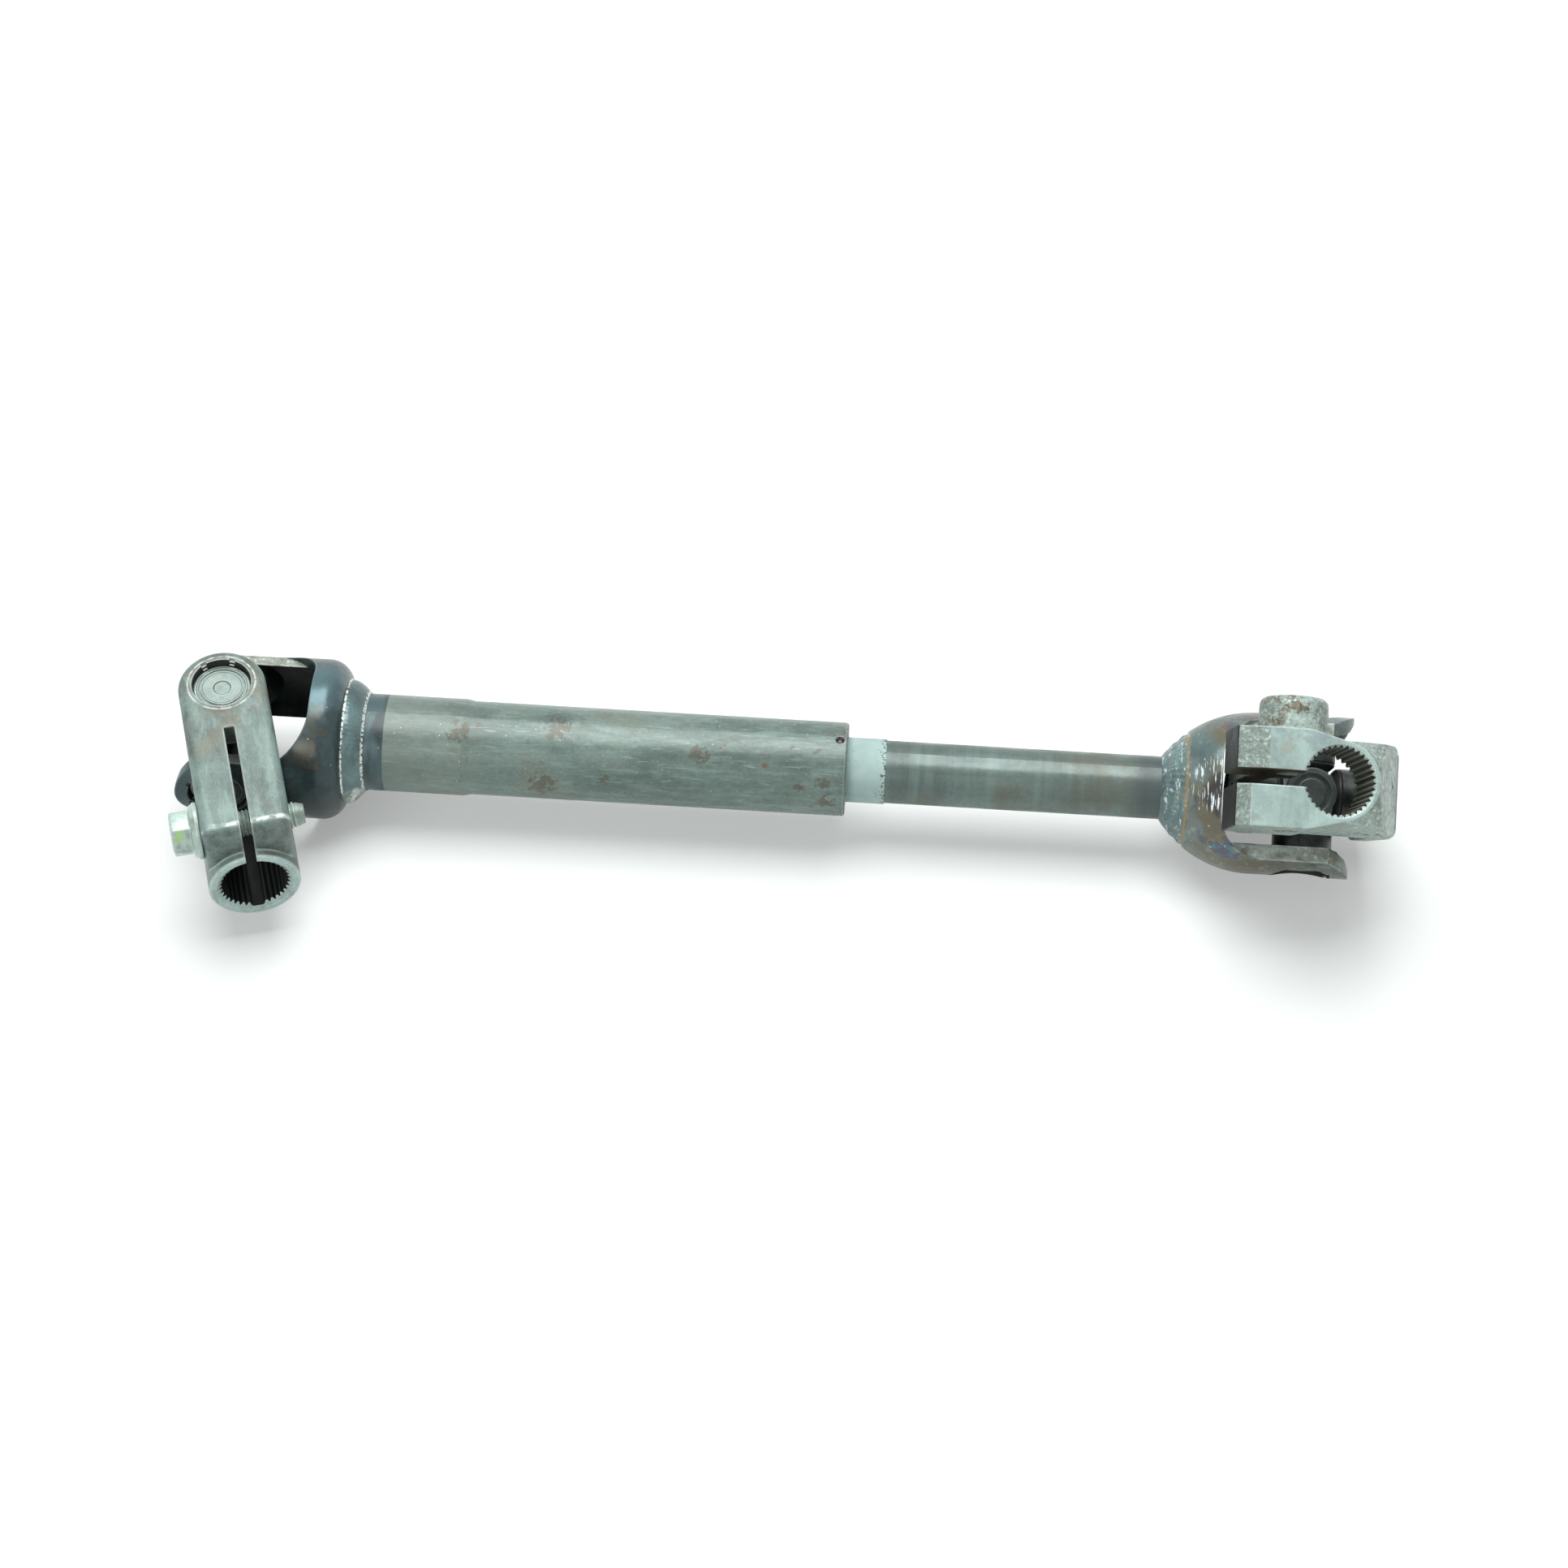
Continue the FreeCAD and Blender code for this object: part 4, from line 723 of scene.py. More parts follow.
def bolt_material(looks):
    """Zinc-plated bolt, darker in the roots of its thread, with a painted highlight on its edges and a dab of
    green paint on its head.
    """
    skin = Skin("plated_bolt", 0.25)
    edge = skin.eased(0.6)
    skin.worn(looks.bolt, 110, 0.12, 1100, 0.06)
    dirt = skin.noise(110, 5, 0.62)
    skin.patch(dirt, 0.5, 0.64, (0.17, 0.225, 0.195), 0.7)
    # Painted highlight on the bolt's edges.
    skin.tint(skin.times(edge, 0.6), (0.82, 0.95, 0.88))
    # Darker in the roots of the thread.
    where = skin.moved(bolt_place(looks, 0))
    root = skin.step(skin.round_about(where), (looks.bolt_radius - 0.2) * MM,
                     (looks.bolt_radius - 0.75) * MM, 0, 0.5)
    skin.tint(root, (0.12, 0.16, 0.135))
    spot = LEFT_YOKE_PLACE @ Vector(((looks.bolt_up + 5.6) * MM, -24 * MM,
                                     (looks.bolt_offset + 5.2) * MM))
    dab = skin.step(skin.near(spot, 3.6 * MM, 0.5, 300), 0.3, 0.45, 0, 0.85)
    paint = skin.mix(skin.noise(500, 4), looks.mark, shade(looks.mark, 0.7))
    skin.tint(dab, paint)
    skin.bump(skin.noise(700, 3), 0.15, 0.05)
    return skin.finish(skin.step(dirt, 0.3, 0.7, 0.2, 0.4))


def seen_rays(tree):
    """A value that is 1 for rays that come from the camera, a mirror or a glass."""
    rays = tree.nodes.new("ShaderNodeLightPath")
    seen = rays.outputs["Is Camera Ray"]
    for ray in ("Is Glossy Ray", "Is Transmission Ray"):
        both = tree.nodes.new("ShaderNodeMath")
        both.operation = "MAXIMUM"
        tree.links.new(seen, both.inputs[0])
        tree.links.new(rays.outputs[ray], both.inputs[1])
        seen = both.outputs[0]
    return seen


def floor_material(looks):
    """Pale floor that shows the object's shadow."""
    skin = Skin("pale_floor", 0.0, 0.0)
    skin.colour = looks.floor
    skin.finish(1.0)
    skin.shader.inputs["Emission Color"].default_value = (1, 1, 1, 1)
    skin.feed(skin.shader.inputs["Emission Strength"],
              skin.times(seen_rays(skin.tree), looks.floor_glow))
    return skin.material


# Helpers


def clear_selection():
    """Leaves nothing selected."""
    if bpy.context.object and bpy.context.object.mode != "OBJECT":
        bpy.ops.object.mode_set(mode="OBJECT")
    bpy.ops.object.select_all(action="DESELECT")


def named(name):
    """Names the object just added."""
    piece = bpy.context.object
    piece.name = name
    piece.data.name = name
    return piece


def cylinder(name, steps, radius, start, length):
    """A cylinder along X."""
    clear_selection()
    bpy.ops.mesh.primitive_cylinder_add(vertices=steps, radius=radius, depth=length,
                                        location=(start + length / 2, 0, 0),
                                        rotation=(0, math.pi / 2, 0))
    piece = named(name)
    bpy.ops.object.transform_apply(location=True, rotation=True, scale=True)
    return piece


def face_outwards():
    """Turns all faces of the active piece outwards."""
    bpy.ops.object.mode_set(mode="EDIT")
    bpy.ops.mesh.select_all(action="SELECT")
    bpy.ops.mesh.normals_make_consistent(inside=False)
    bpy.ops.object.mode_set(mode="OBJECT")


def settle(piece, matrix=None):
    """Puts the piece's place into its mesh and leaves its object at the origin."""
    piece.data.transform(piece.matrix_basis)
    piece.matrix_basis = Matrix.Identity(4)
    if matrix is not None:
        piece.data.transform(matrix)
    piece.data.update()
    return piece


def coat(piece, material, body):
    """Gives a new piece its material and its body."""
    piece.data.materials.clear()
    piece.data.materials.append(material)
    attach(piece, body)


def dress(names, material):
    """Gives CAD nodes a material."""
    for name in names:
        mesh = NODES[name].data
        mesh.materials.clear()
        mesh.materials.append(material)


def add_finish(name, material, wanted):
    """Adds a second finish to a CAD node, on the faces that a test picks."""
    mesh = NODES[name].data
    mesh.materials.append(material)
    index = len(mesh.materials) - 1
    for face in mesh.polygons:
        if wanted(face.center, face.normal):
            face.material_index = index


def ring_stack(name, steps, rings):
    """A skin along X from (along, radius) rings, extruded ring by ring."""
    clear_selection()
    start, radius = rings[0]
    bpy.ops.mesh.primitive_circle_add(vertices=steps, radius=radius, location=(start, 0, 0),
                                      rotation=(0, math.pi / 2, 0))
    piece = named(name)
    bpy.ops.object.transform_apply(location=True, rotation=True, scale=True)
    bpy.ops.object.mode_set(mode="EDIT")
    bpy.ops.mesh.select_all(action="SELECT")
    before = rings[0]
    for along, wide in rings[1:]:
        bpy.ops.mesh.extrude_edges_move(
            TRANSFORM_OT_translate={"value": (along - before[0], 0, 0)})
        share = wide / before[1]
        bpy.ops.transform.resize(value=(1, share, share), center_override=(along, 0, 0))
        before = (along, wide)
    bpy.ops.object.mode_set(mode="OBJECT")
    return piece


def close_ends(piece, rings):
    """Fills a ring stack's first and last ring."""
    bpy.ops.object.mode_set(mode="EDIT")
    for along in (rings[0][0], rings[-1][0]):
        bpy.ops.mesh.select_all(action="DESELECT")
        bpy.ops.object.mode_set(mode="OBJECT")
        for vertex in piece.data.vertices:
            vertex.select = abs(vertex.co.x - along) < 1e-7
        bpy.ops.object.mode_set(mode="EDIT")
        bpy.ops.mesh.select_mode(type="VERT")
        bpy.ops.mesh.edge_face_add()
    face_outwards()


# Pieces


def weld_end():
    """Where the left weld's pass ended, low on the side of the camera."""
    low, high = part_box("left_weld_bead")
    reach = (high.z - low.z) / 2 - 2 * MM
    angle = math.radians(LEFT_WELD_END)
    return Vector(((low.x + high.x) / 2, LEFT_CENTRE.y + reach * math.sin(angle),
                   LEFT_CENTRE.z + reach * math.cos(angle)))


def weld_bead(name, node, rings, steps, body, shape, material):
    """A weld skin over the CAD bead, moved point by point by a shape function."""
    piece = ring_stack(name, steps, rings)
    face_outwards()
    first, last = rings[0][0], rings[-1][0]
    for vertex in piece.data.vertices:
        along = (vertex.co.x - first) / (last - first)
        angle = math.atan2(vertex.co.y, vertex.co.z)
        radius = math.hypot(vertex.co.y, vertex.co.z)
        lift, slide = shape(along, angle, vertex.co)
        scale = (radius + lift) / radius
        vertex.co = (vertex.co.x + slide, vertex.co.y * scale, vertex.co.z * scale)
    bpy.ops.object.shade_smooth()
    coat(piece, material, body)
    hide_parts(node)
    return piece


def left_bead_shape(along, angle, point):
    """A nearly smooth pass, ragged at its toes, with a swelling where it ended."""
    turn = math.sin(math.pi * min(max(along, 0), 1))
    ripple = 0.05 * math.sin(angle * 78 + 1.6 * turn) * turn
    lump = 0.16 * noise.noise(point * 180) * turn
    from_end = angle - math.radians(LEFT_WELD_END)
    end = math.exp(-(from_end / 0.2) ** 2) * (2.1 + 0.5 * noise.noise(point * 500)) * turn
    toe = max(0.0, 1 - turn * 3.0)
    bead = 0.22 * (noise.noise(Vector((along, angle * 22, 0))) + 0.5) * toe
    slide = 0.3 * noise.noise(point * 330) * (1 - turn)
    return (ripple + lump + end + bead) * MM, slide * MM


def right_bead_shape(along, angle, point):
    """Heavy uneven passes that lie over each other."""
    turn = math.sin(math.pi * min(max(along, 0), 1))
    passes = 0.3 * math.sin(along * 3 * 2 * math.pi + 0.8 * math.sin(angle * 3))
    ripple = 0.13 * math.sin(angle * 52 + 5 * along + 1.2 * math.sin(angle * 7))
    lump = 0.5 * noise.noise(point * 230)
    return (passes + ripple + lump) * turn * MM, 0.2 * noise.noise(point * 300) * (1 - turn) * MM


def bead_rings(start, length, radii, count, swelling):
    """Rings of a bead that runs from one radius to another and swells between them."""
    first, last = radii
    rings = []
    for index in range(count + 1):
        share = index / count
        rings.append((start + share * length,
                      first + (last - first) * share + swelling * math.sin(math.pi * share)))
    return rings


def make_welds(looks):
    """Both weld beads."""
    low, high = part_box("left_weld_bead")
    radii = ((high.z - low.z) / 2 + 0.1 * MM, looks.tube_radius * MM)
    rings = bead_rings(low.x - 0.3 * MM, high.x - low.x + 0.6 * MM, radii, 13, 1.0 * MM)
    left = weld_bead("left_weld", "left_weld_bead", rings, 468, "outer_shaft",
                     left_bead_shape, left_weld_material(looks))
    low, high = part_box("right_weld_bead")
    radii = (looks.slim_radius * MM, (high.z - low.z) / 2 + 0.3 * MM)
    rings = bead_rings(low.x - 0.3 * MM, high.x - low.x + 0.9 * MM, radii, 20, 0.9 * MM)
    right = weld_bead("right_weld", "right_weld_bead", rings, 420, "inner_shaft",
                      right_bead_shape, right_weld_material(looks))
    for piece in (left, right):
        piece.data.transform(Matrix.Translation((0, LEFT_CENTRE.y, LEFT_CENTRE.z)))


def make_shank(looks):
    """The bolt's shank, with a thread cut into it and a tip that narrows."""
    radius = looks.bolt_radius * MM
    length = looks.bolt_length * MM
    pitch = looks.thread_pitch * MM
    thread_depth = 0.85 * MM
    tip_start = length - 3.4 * MM
    cuts_in_a_millimetre = 7
    shank = cylinder("clamp_bolt", 40, radius, 0, length)
    bpy.ops.object.mode_set(mode="EDIT")
    bpy.ops.mesh.select_mode(type="EDGE")
    bpy.ops.object.mode_set(mode="OBJECT")
    for edge in shank.data.edges:
        ends = [shank.data.vertices[index].co.x for index in edge.vertices]
        edge.select = abs(ends[0] - ends[1]) > length / 2
    bpy.ops.object.mode_set(mode="EDIT")
    bpy.ops.mesh.subdivide(number_cuts=int(looks.bolt_length * cuts_in_a_millimetre))
    bpy.ops.object.mode_set(mode="OBJECT")
    for vertex in shank.data.vertices:
        place = vertex.co
        angle = math.atan2(place.z, place.y) / (2 * math.pi)
        phase = (place.x / pitch - angle) % 1
        depth = thread_depth * max(0.0, min(1.0, 2.4 * abs(phase - 0.5) - 0.12))
        if place.x > tip_start:
            ease = (place.x - tip_start) / (length - tip_start)
            depth = max(depth, 1.0 * MM * ease + 0.4 * MM)
        share = (radius - depth) / radius
        vertex.co = (place.x, place.y * share, place.z * share)
    return shank


def make_flange(looks):
    """The bolt's flange, with a cone up to its hexagon."""
    radius = looks.flange_radius * MM
    flats = looks.hex_flats * MM
    rings = [(0.0, radius - 0.5 * MM), (-0.4 * MM, radius), (-1.5 * MM, radius),
             (-1.9 * MM, radius - 0.5 * MM), (-3.0 * MM, flats * 0.62),
             (-3.6 * MM, flats * 0.53)]
    flange = ring_stack("flange", 64, rings)
    close_ends(flange, rings)
    return flange


def make_hexagon(looks):
    """The bolt's hexagon, with a dish in its top."""
    top = -looks.head_height * MM
    corner = looks.hex_flats * MM / math.sqrt(3)
    head = cylinder("head", 6, corner, top, -top - 1.6 * MM)
    bpy.ops.object.mode_set(mode="EDIT")
    bpy.ops.mesh.select_all(action="SELECT")
    bpy.ops.mesh.bevel(offset=0.45 * MM, segments=3)
    bpy.ops.mesh.select_all(action="DESELECT")
    bpy.ops.object.mode_set(mode="OBJECT")
    for face in head.data.polygons:
        face.select = face.normal.x < -0.99
    bpy.ops.object.mode_set(mode="EDIT")
    bpy.ops.mesh.select_mode(type="FACE")
    for border, lift in ((1.4, -0.35), (2.4, 0.6)):
        bpy.ops.mesh.inset(thickness=border * MM)
        bpy.ops.transform.translate(value=(lift * MM, 0, 0))
    bpy.ops.object.mode_set(mode="OBJECT")
    return head


def make_bolt(looks):
    """The clamp bolt with its thread, flange and hexagon."""
    shank = make_shank(looks)
    others = (make_flange(looks), make_hexagon(looks))
    clear_selection()
    for part in (*others, shank):
        part.select_set(True)
    bpy.context.view_layer.objects.active = shank
    bpy.ops.object.join()
    bpy.ops.object.shade_smooth_by_angle(angle=math.radians(32))
    settle(shank, bolt_place(looks, -looks.bolt_seat))
    coat(shank, bolt_material(looks), "left_clamp_yoke")
    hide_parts("left_clamp_bolt")


def from_axis(place, centre, axis):
    """How far a point lies from an axis through a centre."""
    off = place - centre
    return (off - axis * off.dot(axis)).length


def cup_way(name):
    """The direction in which a cup lies from its joint's centre."""
    if name.startswith("left"):
        centre = LEFT_CENTRE
        way = LEFT_UP if "clamp" in name else Vector((0, -1, 0))
    else:
        centre = RIGHT_CENTRE
        way = RIGHT_UP if "clamp" in name else TUBE_EARS
    low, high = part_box(name)
    middle = (Vector(low) + Vector(high)) / 2
    return way if (middle - centre).dot(way) > 0 else -way


def in_hole(centre, axis, radius, lean):
    """A test for faces that line a round hole."""
    return lambda place, normal: (from_axis(place, centre, axis) < radius * MM
                                  and abs(normal.dot(axis)) < lean)


def make_seals(looks):
    """The eight seals: skirts that widen from the cross to the cup's lip."""
    rings = [(9.55, 7.05), (9.55, 8.6), (9.8, 9.2), (10.5, 9.95), (11.0, 10.5), (11.3, 10.75),
             (11.8, 10.85), (12.15, 10.7), (12.3, 10.3), (12.3, 9.3), (12.15, 8.9), (12.15, 7.05),
             (9.55, 7.05)]
    first = ring_stack("seal", 72, [(along * MM, radius * MM) for along, radius in rings])
    bpy.ops.object.mode_set(mode="EDIT")
    bpy.ops.mesh.select_all(action="SELECT")
    bpy.ops.mesh.remove_doubles(threshold=0.005 * MM)
    face_outwards()
    bpy.ops.object.shade_smooth_by_angle(angle=math.radians(50))
    rubber = rubber_material(looks)
    pattern = first.data
    for side, centre in (("left", LEFT_CENTRE), ("right", RIGHT_CENTRE)):
        for end in ("clamp_a", "clamp_b", "tube_a", "tube_b"):
            way = cup_way(side + "_cup_" + end)
            beside = way.orthogonal().normalized()
            piece = bpy.data.objects.new(side + "_skirt_" + end, pattern.copy())
            bpy.context.scene.collection.objects.link(piece)
            settle(piece, local_matrix(centre, way, beside))
            coat(piece, rubber, side + "_cross")
            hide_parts(side + "_seal_" + end)
    bpy.data.objects.remove(first)


def finish_bells(looks):
    """Insides of the bells, darkened with painted shade, and the milled sides of their ears."""
    along = Vector((1, 0, 0))
    ear_half, ear_tolerance = 15.1 * MM, 0.2 * MM
    for node, centre, hollow, up, tone in (
            ("left_tube_yoke", LEFT_CENTRE, 26.6, Vector((0, 0, 1)), (0.27, 0.31, 0.27)),
            ("right_tube_yoke", RIGHT_CENTRE, 25.4, along.cross(TUBE_EARS), (0.38, 0.44, 0.4))):
        # Painted shade inside the bells.
        add_finish(node, shadowed_material(node + "_inside", looks.inside),
                   lambda place, normal, centre=centre, hollow=hollow:
                   from_axis(place, centre, along) < hollow * MM
                   and normal.dot(centre + along * (place - centre).x - place) > 0)
        add_finish(node, milled_rim_material(node + "_rim", tone),
                   lambda place, normal, centre=centre, up=up: abs(normal.dot(up)) > 0.95
                   and abs(abs((place - centre).dot(up)) - ear_half) < ear_tolerance)


def finish_clamps(looks):
    """Cut faces, bores and slits of the clamp yokes, the left slit darkened with painted shade, and a painted
    shadow on the end of the right lugs.
    """
    for side, centre, axis, matrix, reach, bore_tone, slit_tone, half_slit in (
            ("left", LEFT_CENTRE, LEFT_AXIS, LEFT_YOKE_PLACE, 71.0, (0.018, 0.022, 0.021),
             (0.035, 0.042, 0.04), 2.0),
            ("right", RIGHT_CENTRE, RIGHT_AXIS, RIGHT_YOKE_PLACE, 58.3, (0.13, 0.137, 0.112),
             (0.11, 0.1, 0.075), 3.0)):
        node = side + "_clamp_yoke"
        back = matrix.inverted()
        cut = machined_material(side + "_cut", looks.machined, matrix, 300.0)
        add_finish(node, cut, lambda place, normal, centre=centre, axis=axis, reach=reach:
                   normal.dot(axis) > 0.6 and (place - centre).dot(axis) > reach * MM)
        bore = bore_material(side + "_bore", bore_tone, matrix, 0.5)
        add_finish(node, bore, in_hole(centre, axis, 13.3, 0.3))
        # The left slit's tone is painted shade; the right slit keeps its wall's own brown.
        slit = shadowed_material(side + "_slit", slit_tone)
        add_finish(node, slit, lambda place, normal, back=back, half=half_slit:
                   abs((back @ place).y) < half * MM and abs((back.to_3x3() @ normal).y) > 0.9)
    # Painted shadow on the end of the right lugs.
    lug_way = -(RIGHT_YOKE_PLACE.to_3x3() @ Vector((0, 0, 1))).normalized()
    add_finish("right_clamp_yoke", shadowed_material("lug_end", (0.008, 0.01, 0.01)),
               lambda place, normal: (place - RIGHT_CENTRE).dot(lug_way) > 34.2 * MM
               and normal.dot(RIGHT_AXIS) < 0.5)


def finish_cups(looks):
    """Bearing cups and rollers, with their own walls and lips."""
    ends = [side + "_{}_" + yoke + letter for side in ("left", "right")
            for yoke in ("clamp", "tube") for letter in ("_a", "_b")]
    for side, yoke, centre, way in (("left", "clamp", LEFT_CENTRE, LEFT_UP),
                                    ("left", "tube", LEFT_CENTRE, Vector((0, 1, 0))),
                                    ("right", "clamp", RIGHT_CENTRE, RIGHT_UP),
                                    ("right", "tube", RIGHT_CENTRE, TUBE_EARS)):
        drawn = cup_material(side + "_" + yoke + "_cup", looks.cup,
                             local_matrix(centre, way, way.orthogonal().normalized()))
        dress([end.format(kind) for end in ends for kind in ("cup", "needles")
               if end.startswith(side) and yoke in end], drawn)
    wall = cup_wall_material(looks)
    lip = cup_lip_material()
    for end in ends:
        name = end.format("cup")
        out = cup_way(name)
        add_finish(name, wall, lambda place, normal, out=out: abs(normal.dot(out)) < 0.3)
        add_finish(name, lip, lambda place, normal, out=out: normal.dot(out) < -0.9)


def finish_nodes(looks):
    """Materials of the pieces that keep their CAD shape."""
    for node, material in (("outer_tube", tube_material), ("inner_shaft", shaft_material),
                           ("nylon_coating", nylon_material),
                           ("left_tube_yoke", left_bell_material),
                           ("right_tube_yoke", right_bell_material),
                           ("left_clamp_yoke", left_forging_material),
                           ("right_clamp_yoke", right_forging_material)):
        dress([node], material(looks))
    dress(["left_cross", "right_cross"], cross_material(looks))
    finish_bells(looks)
    finish_clamps(looks)
    # Painted shade on the walls of the eyes in every yoke.
    for node, centre, ears in (("left_tube_yoke", LEFT_CENTRE, Vector((0, 1, 0))),
                               ("right_tube_yoke", RIGHT_CENTRE, TUBE_EARS),
                               ("left_clamp_yoke", LEFT_CENTRE, LEFT_UP),
                               ("right_clamp_yoke", RIGHT_CENTRE, RIGHT_UP)):
        add_finish(node, shadowed_material(node + "_eye", (0.03, 0.034, 0.032)),
                   in_hole(centre, ears, 11.1, 0.2))
    finish_cups(looks)


def make_stage(looks):
    """Floor, soft lamps, pale world and the photograph's camera."""
    clear_selection()
    bpy.ops.mesh.primitive_plane_add(size=12, location=(0, 0, -0.0003))
    floor = named("floor")
    floor.data.materials.append(floor_material(looks))
    for name, place, size, power in (("overhead", (-0.1, 0.4, 1.45), 1.2, looks.overhead),
                                     ("front", (-0.9, -1.5, 1.1), 1.0, looks.front)):
        bpy.ops.object.light_add(type="AREA", location=place)
        lamp = named(name)
        lamp.data.size = size
        lamp.data.energy = power
        aim = Vector(place)
        lamp.rotation_euler = aim.to_track_quat("Z", "Y").to_euler()
    world = bpy.data.worlds.new("studio")
    world.use_nodes = True
    tree = world.node_tree
    background = tree.nodes["Background"]
    level = tree.nodes.new("ShaderNodeMapRange")
    tree.links.new(seen_rays(tree), level.inputs["Value"])
    level.inputs["To Min"].default_value = looks.ambient
    level.inputs["To Max"].default_value = 1.0
    tree.links.new(level.outputs[0], background.inputs["Strength"])
    background.inputs["Color"].default_value = (1, 1, 1, 1)
    bpy.context.scene.world = world
    bpy.ops.object.camera_add(location=LEFT_CENTRE + Vector(looks.camera_place) * MM)
    camera = named("camera")
    turn, lift, roll = (math.radians(value) for value in looks.camera_angles)
    back = Vector((math.sin(turn) * math.cos(lift), -math.cos(turn) * math.cos(lift),
                   math.sin(lift)))
    right = Vector((math.cos(turn), math.sin(turn), 0))
    up = back.cross(right)
    across = right * math.cos(roll) + up * math.sin(roll)
    upright = up * math.cos(roll) - right * math.sin(roll)
    camera.rotation_euler = Matrix((across, upright, back)).transposed().to_euler()
    camera.data.sensor_width = 36
    camera.data.lens = looks.lens
    camera.data.shift_x, camera.data.shift_y = looks.shift
    bpy.context.scene.camera = camera
    bpy.context.scene.view_settings.view_transform = "Standard"


# Add-on


def colour_property(name, description, default):
    return bpy.props.FloatVectorProperty(name=name, description=description, default=default,
                                         size=3, min=0, max=1, subtype="COLOR")


def number_property(name, description, default, unit="NONE"):
    return bpy.props.FloatProperty(name=name, description=description, default=default, unit=unit)


class ShaftLooks(bpy.types.PropertyGroup):
    """Sizes in millimetres and colours that a user would change."""

    tube: colour_property("Tube", "Drawn tube", (0.143, 0.206, 0.183))
    slim: colour_property("Slim shaft", "Slim shaft", (0.116, 0.165, 0.15))
    nylon: colour_property("Nylon", "Coating of the splines", (0.44, 0.6, 0.57))
    left_bell: colour_property("Left bell", "Left tube yoke", (0.048, 0.077, 0.081))
    right_bell: colour_property("Right bell", "Right tube yoke", (0.09, 0.14, 0.136))
    # Painted shade of the bells' hollows.
    inside: colour_property("Insides", "Hollows of the bells", (0.018, 0.026, 0.026))
    left_yoke: colour_property("Left yoke", "Left clamp yoke", (0.16, 0.225, 0.205))
    right_yoke: colour_property("Right yoke", "Right clamp yoke", (0.315, 0.4, 0.358))
    machined: colour_property("Cut faces", "Machined faces", (0.39, 0.525, 0.49))
    weld: colour_property("Weld", "Weld metal", (0.11, 0.175, 0.175))
    cross: colour_property("Cross", "Forged crosses", (0.11, 0.135, 0.13))
    cup: colour_property("Cups", "Bearing cups", (0.235, 0.305, 0.28))
    rubber: colour_property("Seals", "Rubber seals", (0.012, 0.014, 0.014))
    bolt: colour_property("Bolt", "Plated bolt", (0.46, 0.59, 0.53))
    mark: colour_property("Mark", "Paint mark on the bolt", (0.45, 0.75, 0.25))
    floor: colour_property("Floor", "Floor", (0.76, 0.8, 0.79))
    floor_glow: number_property("Floor glow", "How white the floor is seen", 0.3)
    overhead: number_property("Overhead lamp", "Power of the lamp above", 24.5, "POWER")
    front: number_property("Front lamp", "Power of the lamp in front", 8.0, "POWER")
    ambient: number_property("Ambient", "Strength of the world on surfaces", 0.21)
    lens: number_property("Lens", "Focal length in millimetres", 87.563)
    shift: bpy.props.FloatVectorProperty(name="Shift", description="Camera shift", size=2,
                                         default=(0.02364, -0.01299))
    camera_place: bpy.props.FloatVectorProperty(
        name="Camera place", size=3, default=(253.04, -882.69, 1118.18),
        description="Camera place in millimetres, from the left joint's centre")
    camera_angles: bpy.props.FloatVectorProperty(name="Camera angles", size=3,
                                                 description="Turn, height and roll in degrees",
                                                 default=(3.762, 51.652, 0.397))
    tube_radius: number_property("Tube radius", "Radius of the tube at the weld", 18.1)
    slim_radius: number_property("Slim radius", "Radius of the slim shaft", 11.7)
    thread_pitch: number_property("Thread pitch", "Pitch of the bolt's thread", 1.5)
    bolt_radius: number_property("Bolt radius", "Outside of the thread", 5.0)
    bolt_length: number_property("Bolt length", "Length under the flange", 38.0)
    bolt_seat: number_property("Bolt seat", "Half width of the clamp yoke", 16.3)
    bolt_up: number_property("Bolt place", "Distance of the bolt from the joint", 57.0)
    bolt_offset: number_property("Bolt offset", "Distance of the bolt from the bore", 17.4)
    flange_radius: number_property("Flange radius", "Radius of the bolt's flange", 10.5)
    hex_flats: number_property("Hexagon", "Width across the flats", 15.0)
    head_height: number_property("Head height", "Height of flange and hexagon", 10.3)


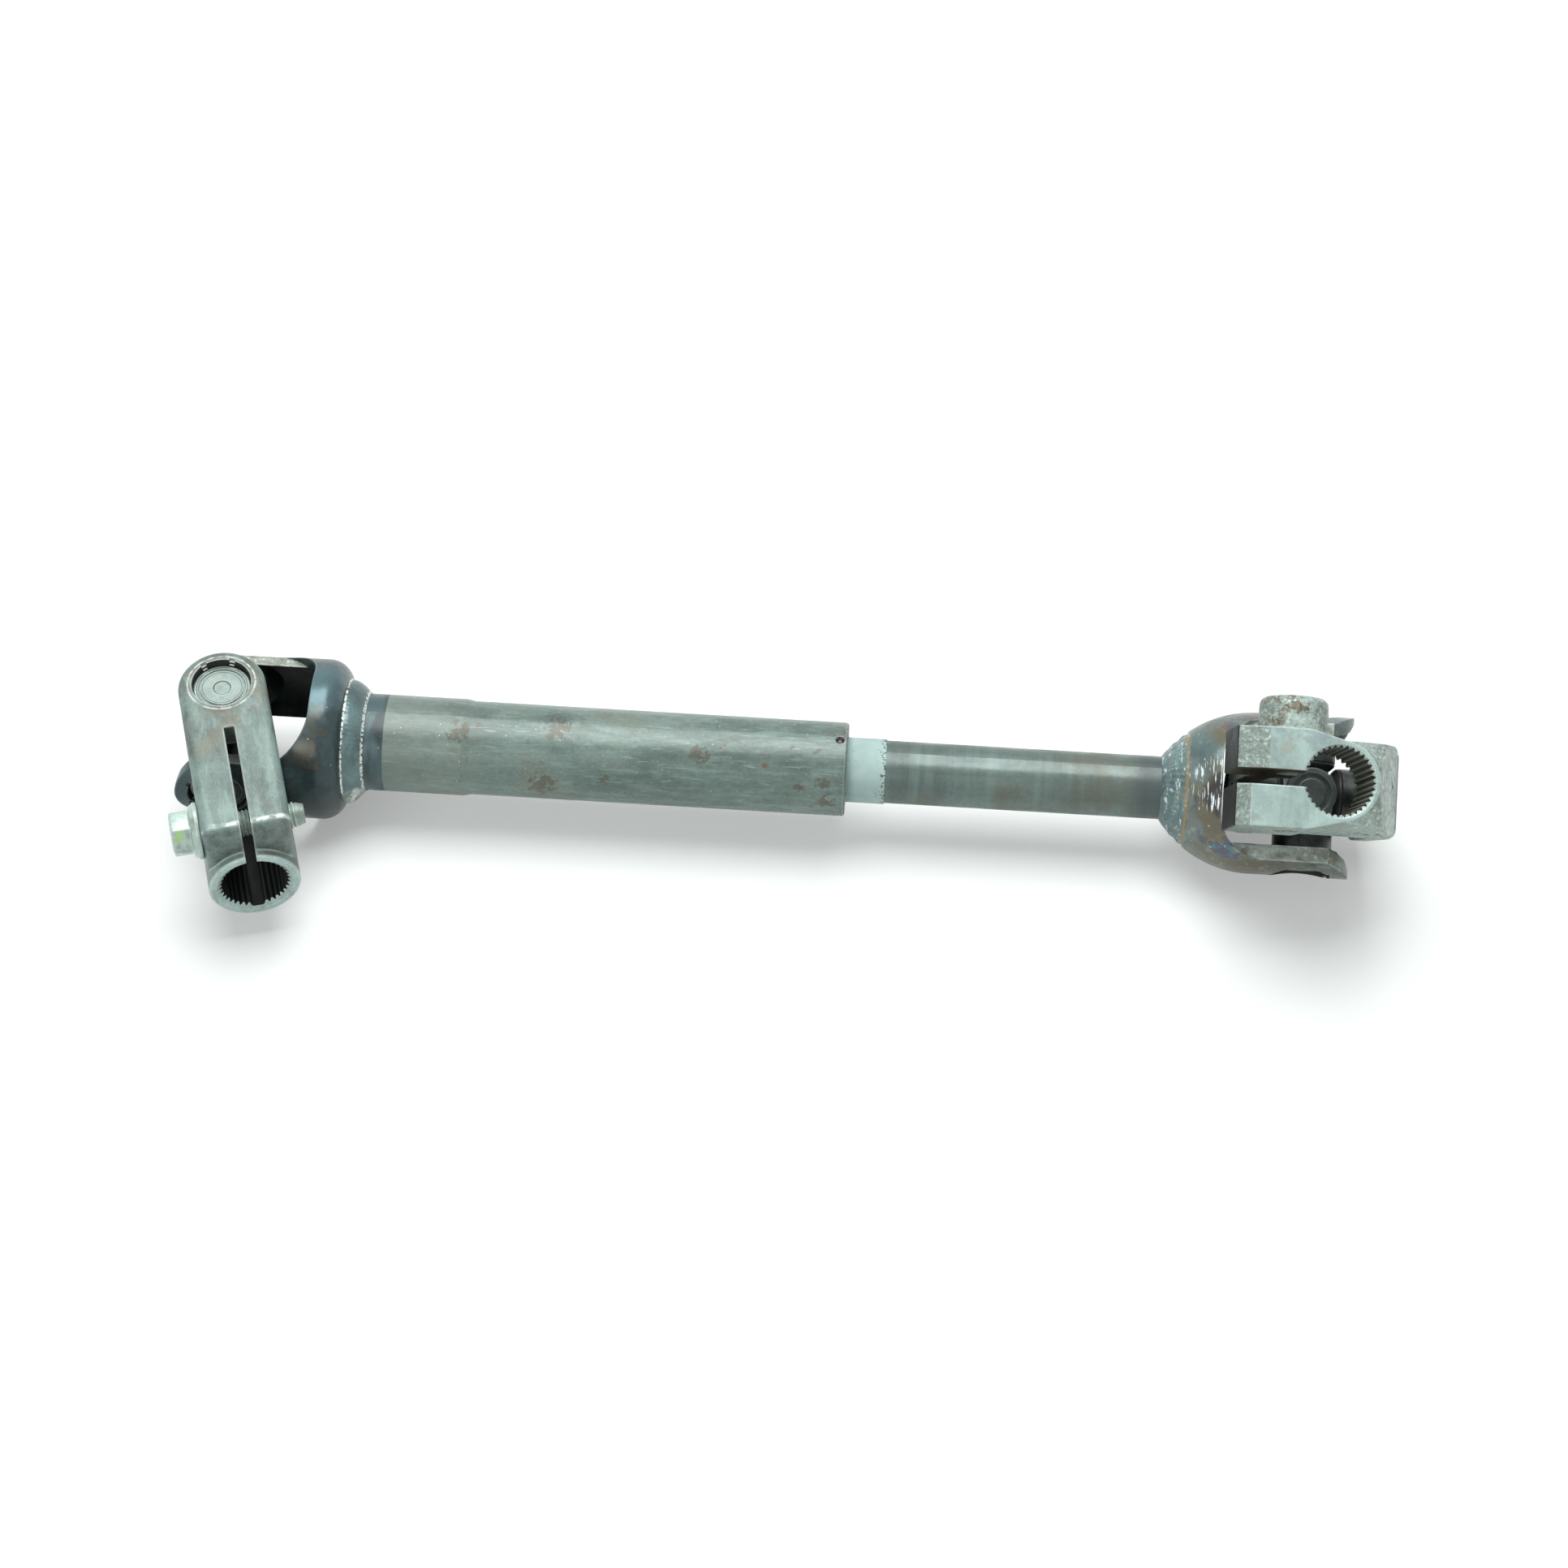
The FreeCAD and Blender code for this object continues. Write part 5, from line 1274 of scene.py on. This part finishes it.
class ShaftOperator:
    """What every operator here shares."""

    bl_options = {"REGISTER", "UNDO"}

    def execute(self, context):
        self.make(context.scene.shaft_looks)
        return {"FINISHED"}


class SHAFT_OT_stage(ShaftOperator, bpy.types.Operator):
    """Adds the floor, lamps, world and camera"""

    bl_idname = "shaft.stage"
    bl_label = "Stage"
    make = staticmethod(make_stage)


class SHAFT_OT_finishes(ShaftOperator, bpy.types.Operator):
    """Gives the frame's own pieces their materials"""

    bl_idname = "shaft.finishes"
    bl_label = "Finishes"
    make = staticmethod(finish_nodes)


class SHAFT_OT_welds(ShaftOperator, bpy.types.Operator):
    """Builds the two weld beads"""

    bl_idname = "shaft.welds"
    bl_label = "Welds"
    make = staticmethod(make_welds)


class SHAFT_OT_seals(ShaftOperator, bpy.types.Operator):
    """Builds the eight rubber seals of the crosses"""

    bl_idname = "shaft.seals"
    bl_label = "Seals"
    make = staticmethod(make_seals)


class SHAFT_OT_bolt(ShaftOperator, bpy.types.Operator):
    """Builds the clamp bolt"""

    bl_idname = "shaft.bolt"
    bl_label = "Clamp bolt"
    make = staticmethod(make_bolt)


OPERATORS = (SHAFT_OT_stage, SHAFT_OT_finishes, SHAFT_OT_welds, SHAFT_OT_seals, SHAFT_OT_bolt)


class SHAFT_PT_panel(bpy.types.Panel):
    """Lists the makers of the pieces"""

    bl_label = "Steering shaft"
    bl_idname = "SHAFT_PT_panel"
    bl_space_type = "VIEW_3D"
    bl_region_type = "UI"
    bl_category = "Shaft"

    def draw(self, context):
        for operator in OPERATORS:
            self.layout.operator(operator.bl_idname)


def register():
    for item in (ShaftLooks, *OPERATORS, SHAFT_PT_panel):
        bpy.utils.register_class(item)
    bpy.types.Scene.shaft_looks = bpy.props.PointerProperty(type=ShaftLooks)


def unregister():
    del bpy.types.Scene.shaft_looks
    for item in (SHAFT_PT_panel, *reversed(OPERATORS), ShaftLooks):
        bpy.utils.unregister_class(item)


def main():
    register()
    bpy.ops.shaft.stage()
    bpy.ops.shaft.finishes()
    bpy.ops.shaft.welds()
    bpy.ops.shaft.seals()
    bpy.ops.shaft.bolt()


if __name__ == "__main__":
    main()
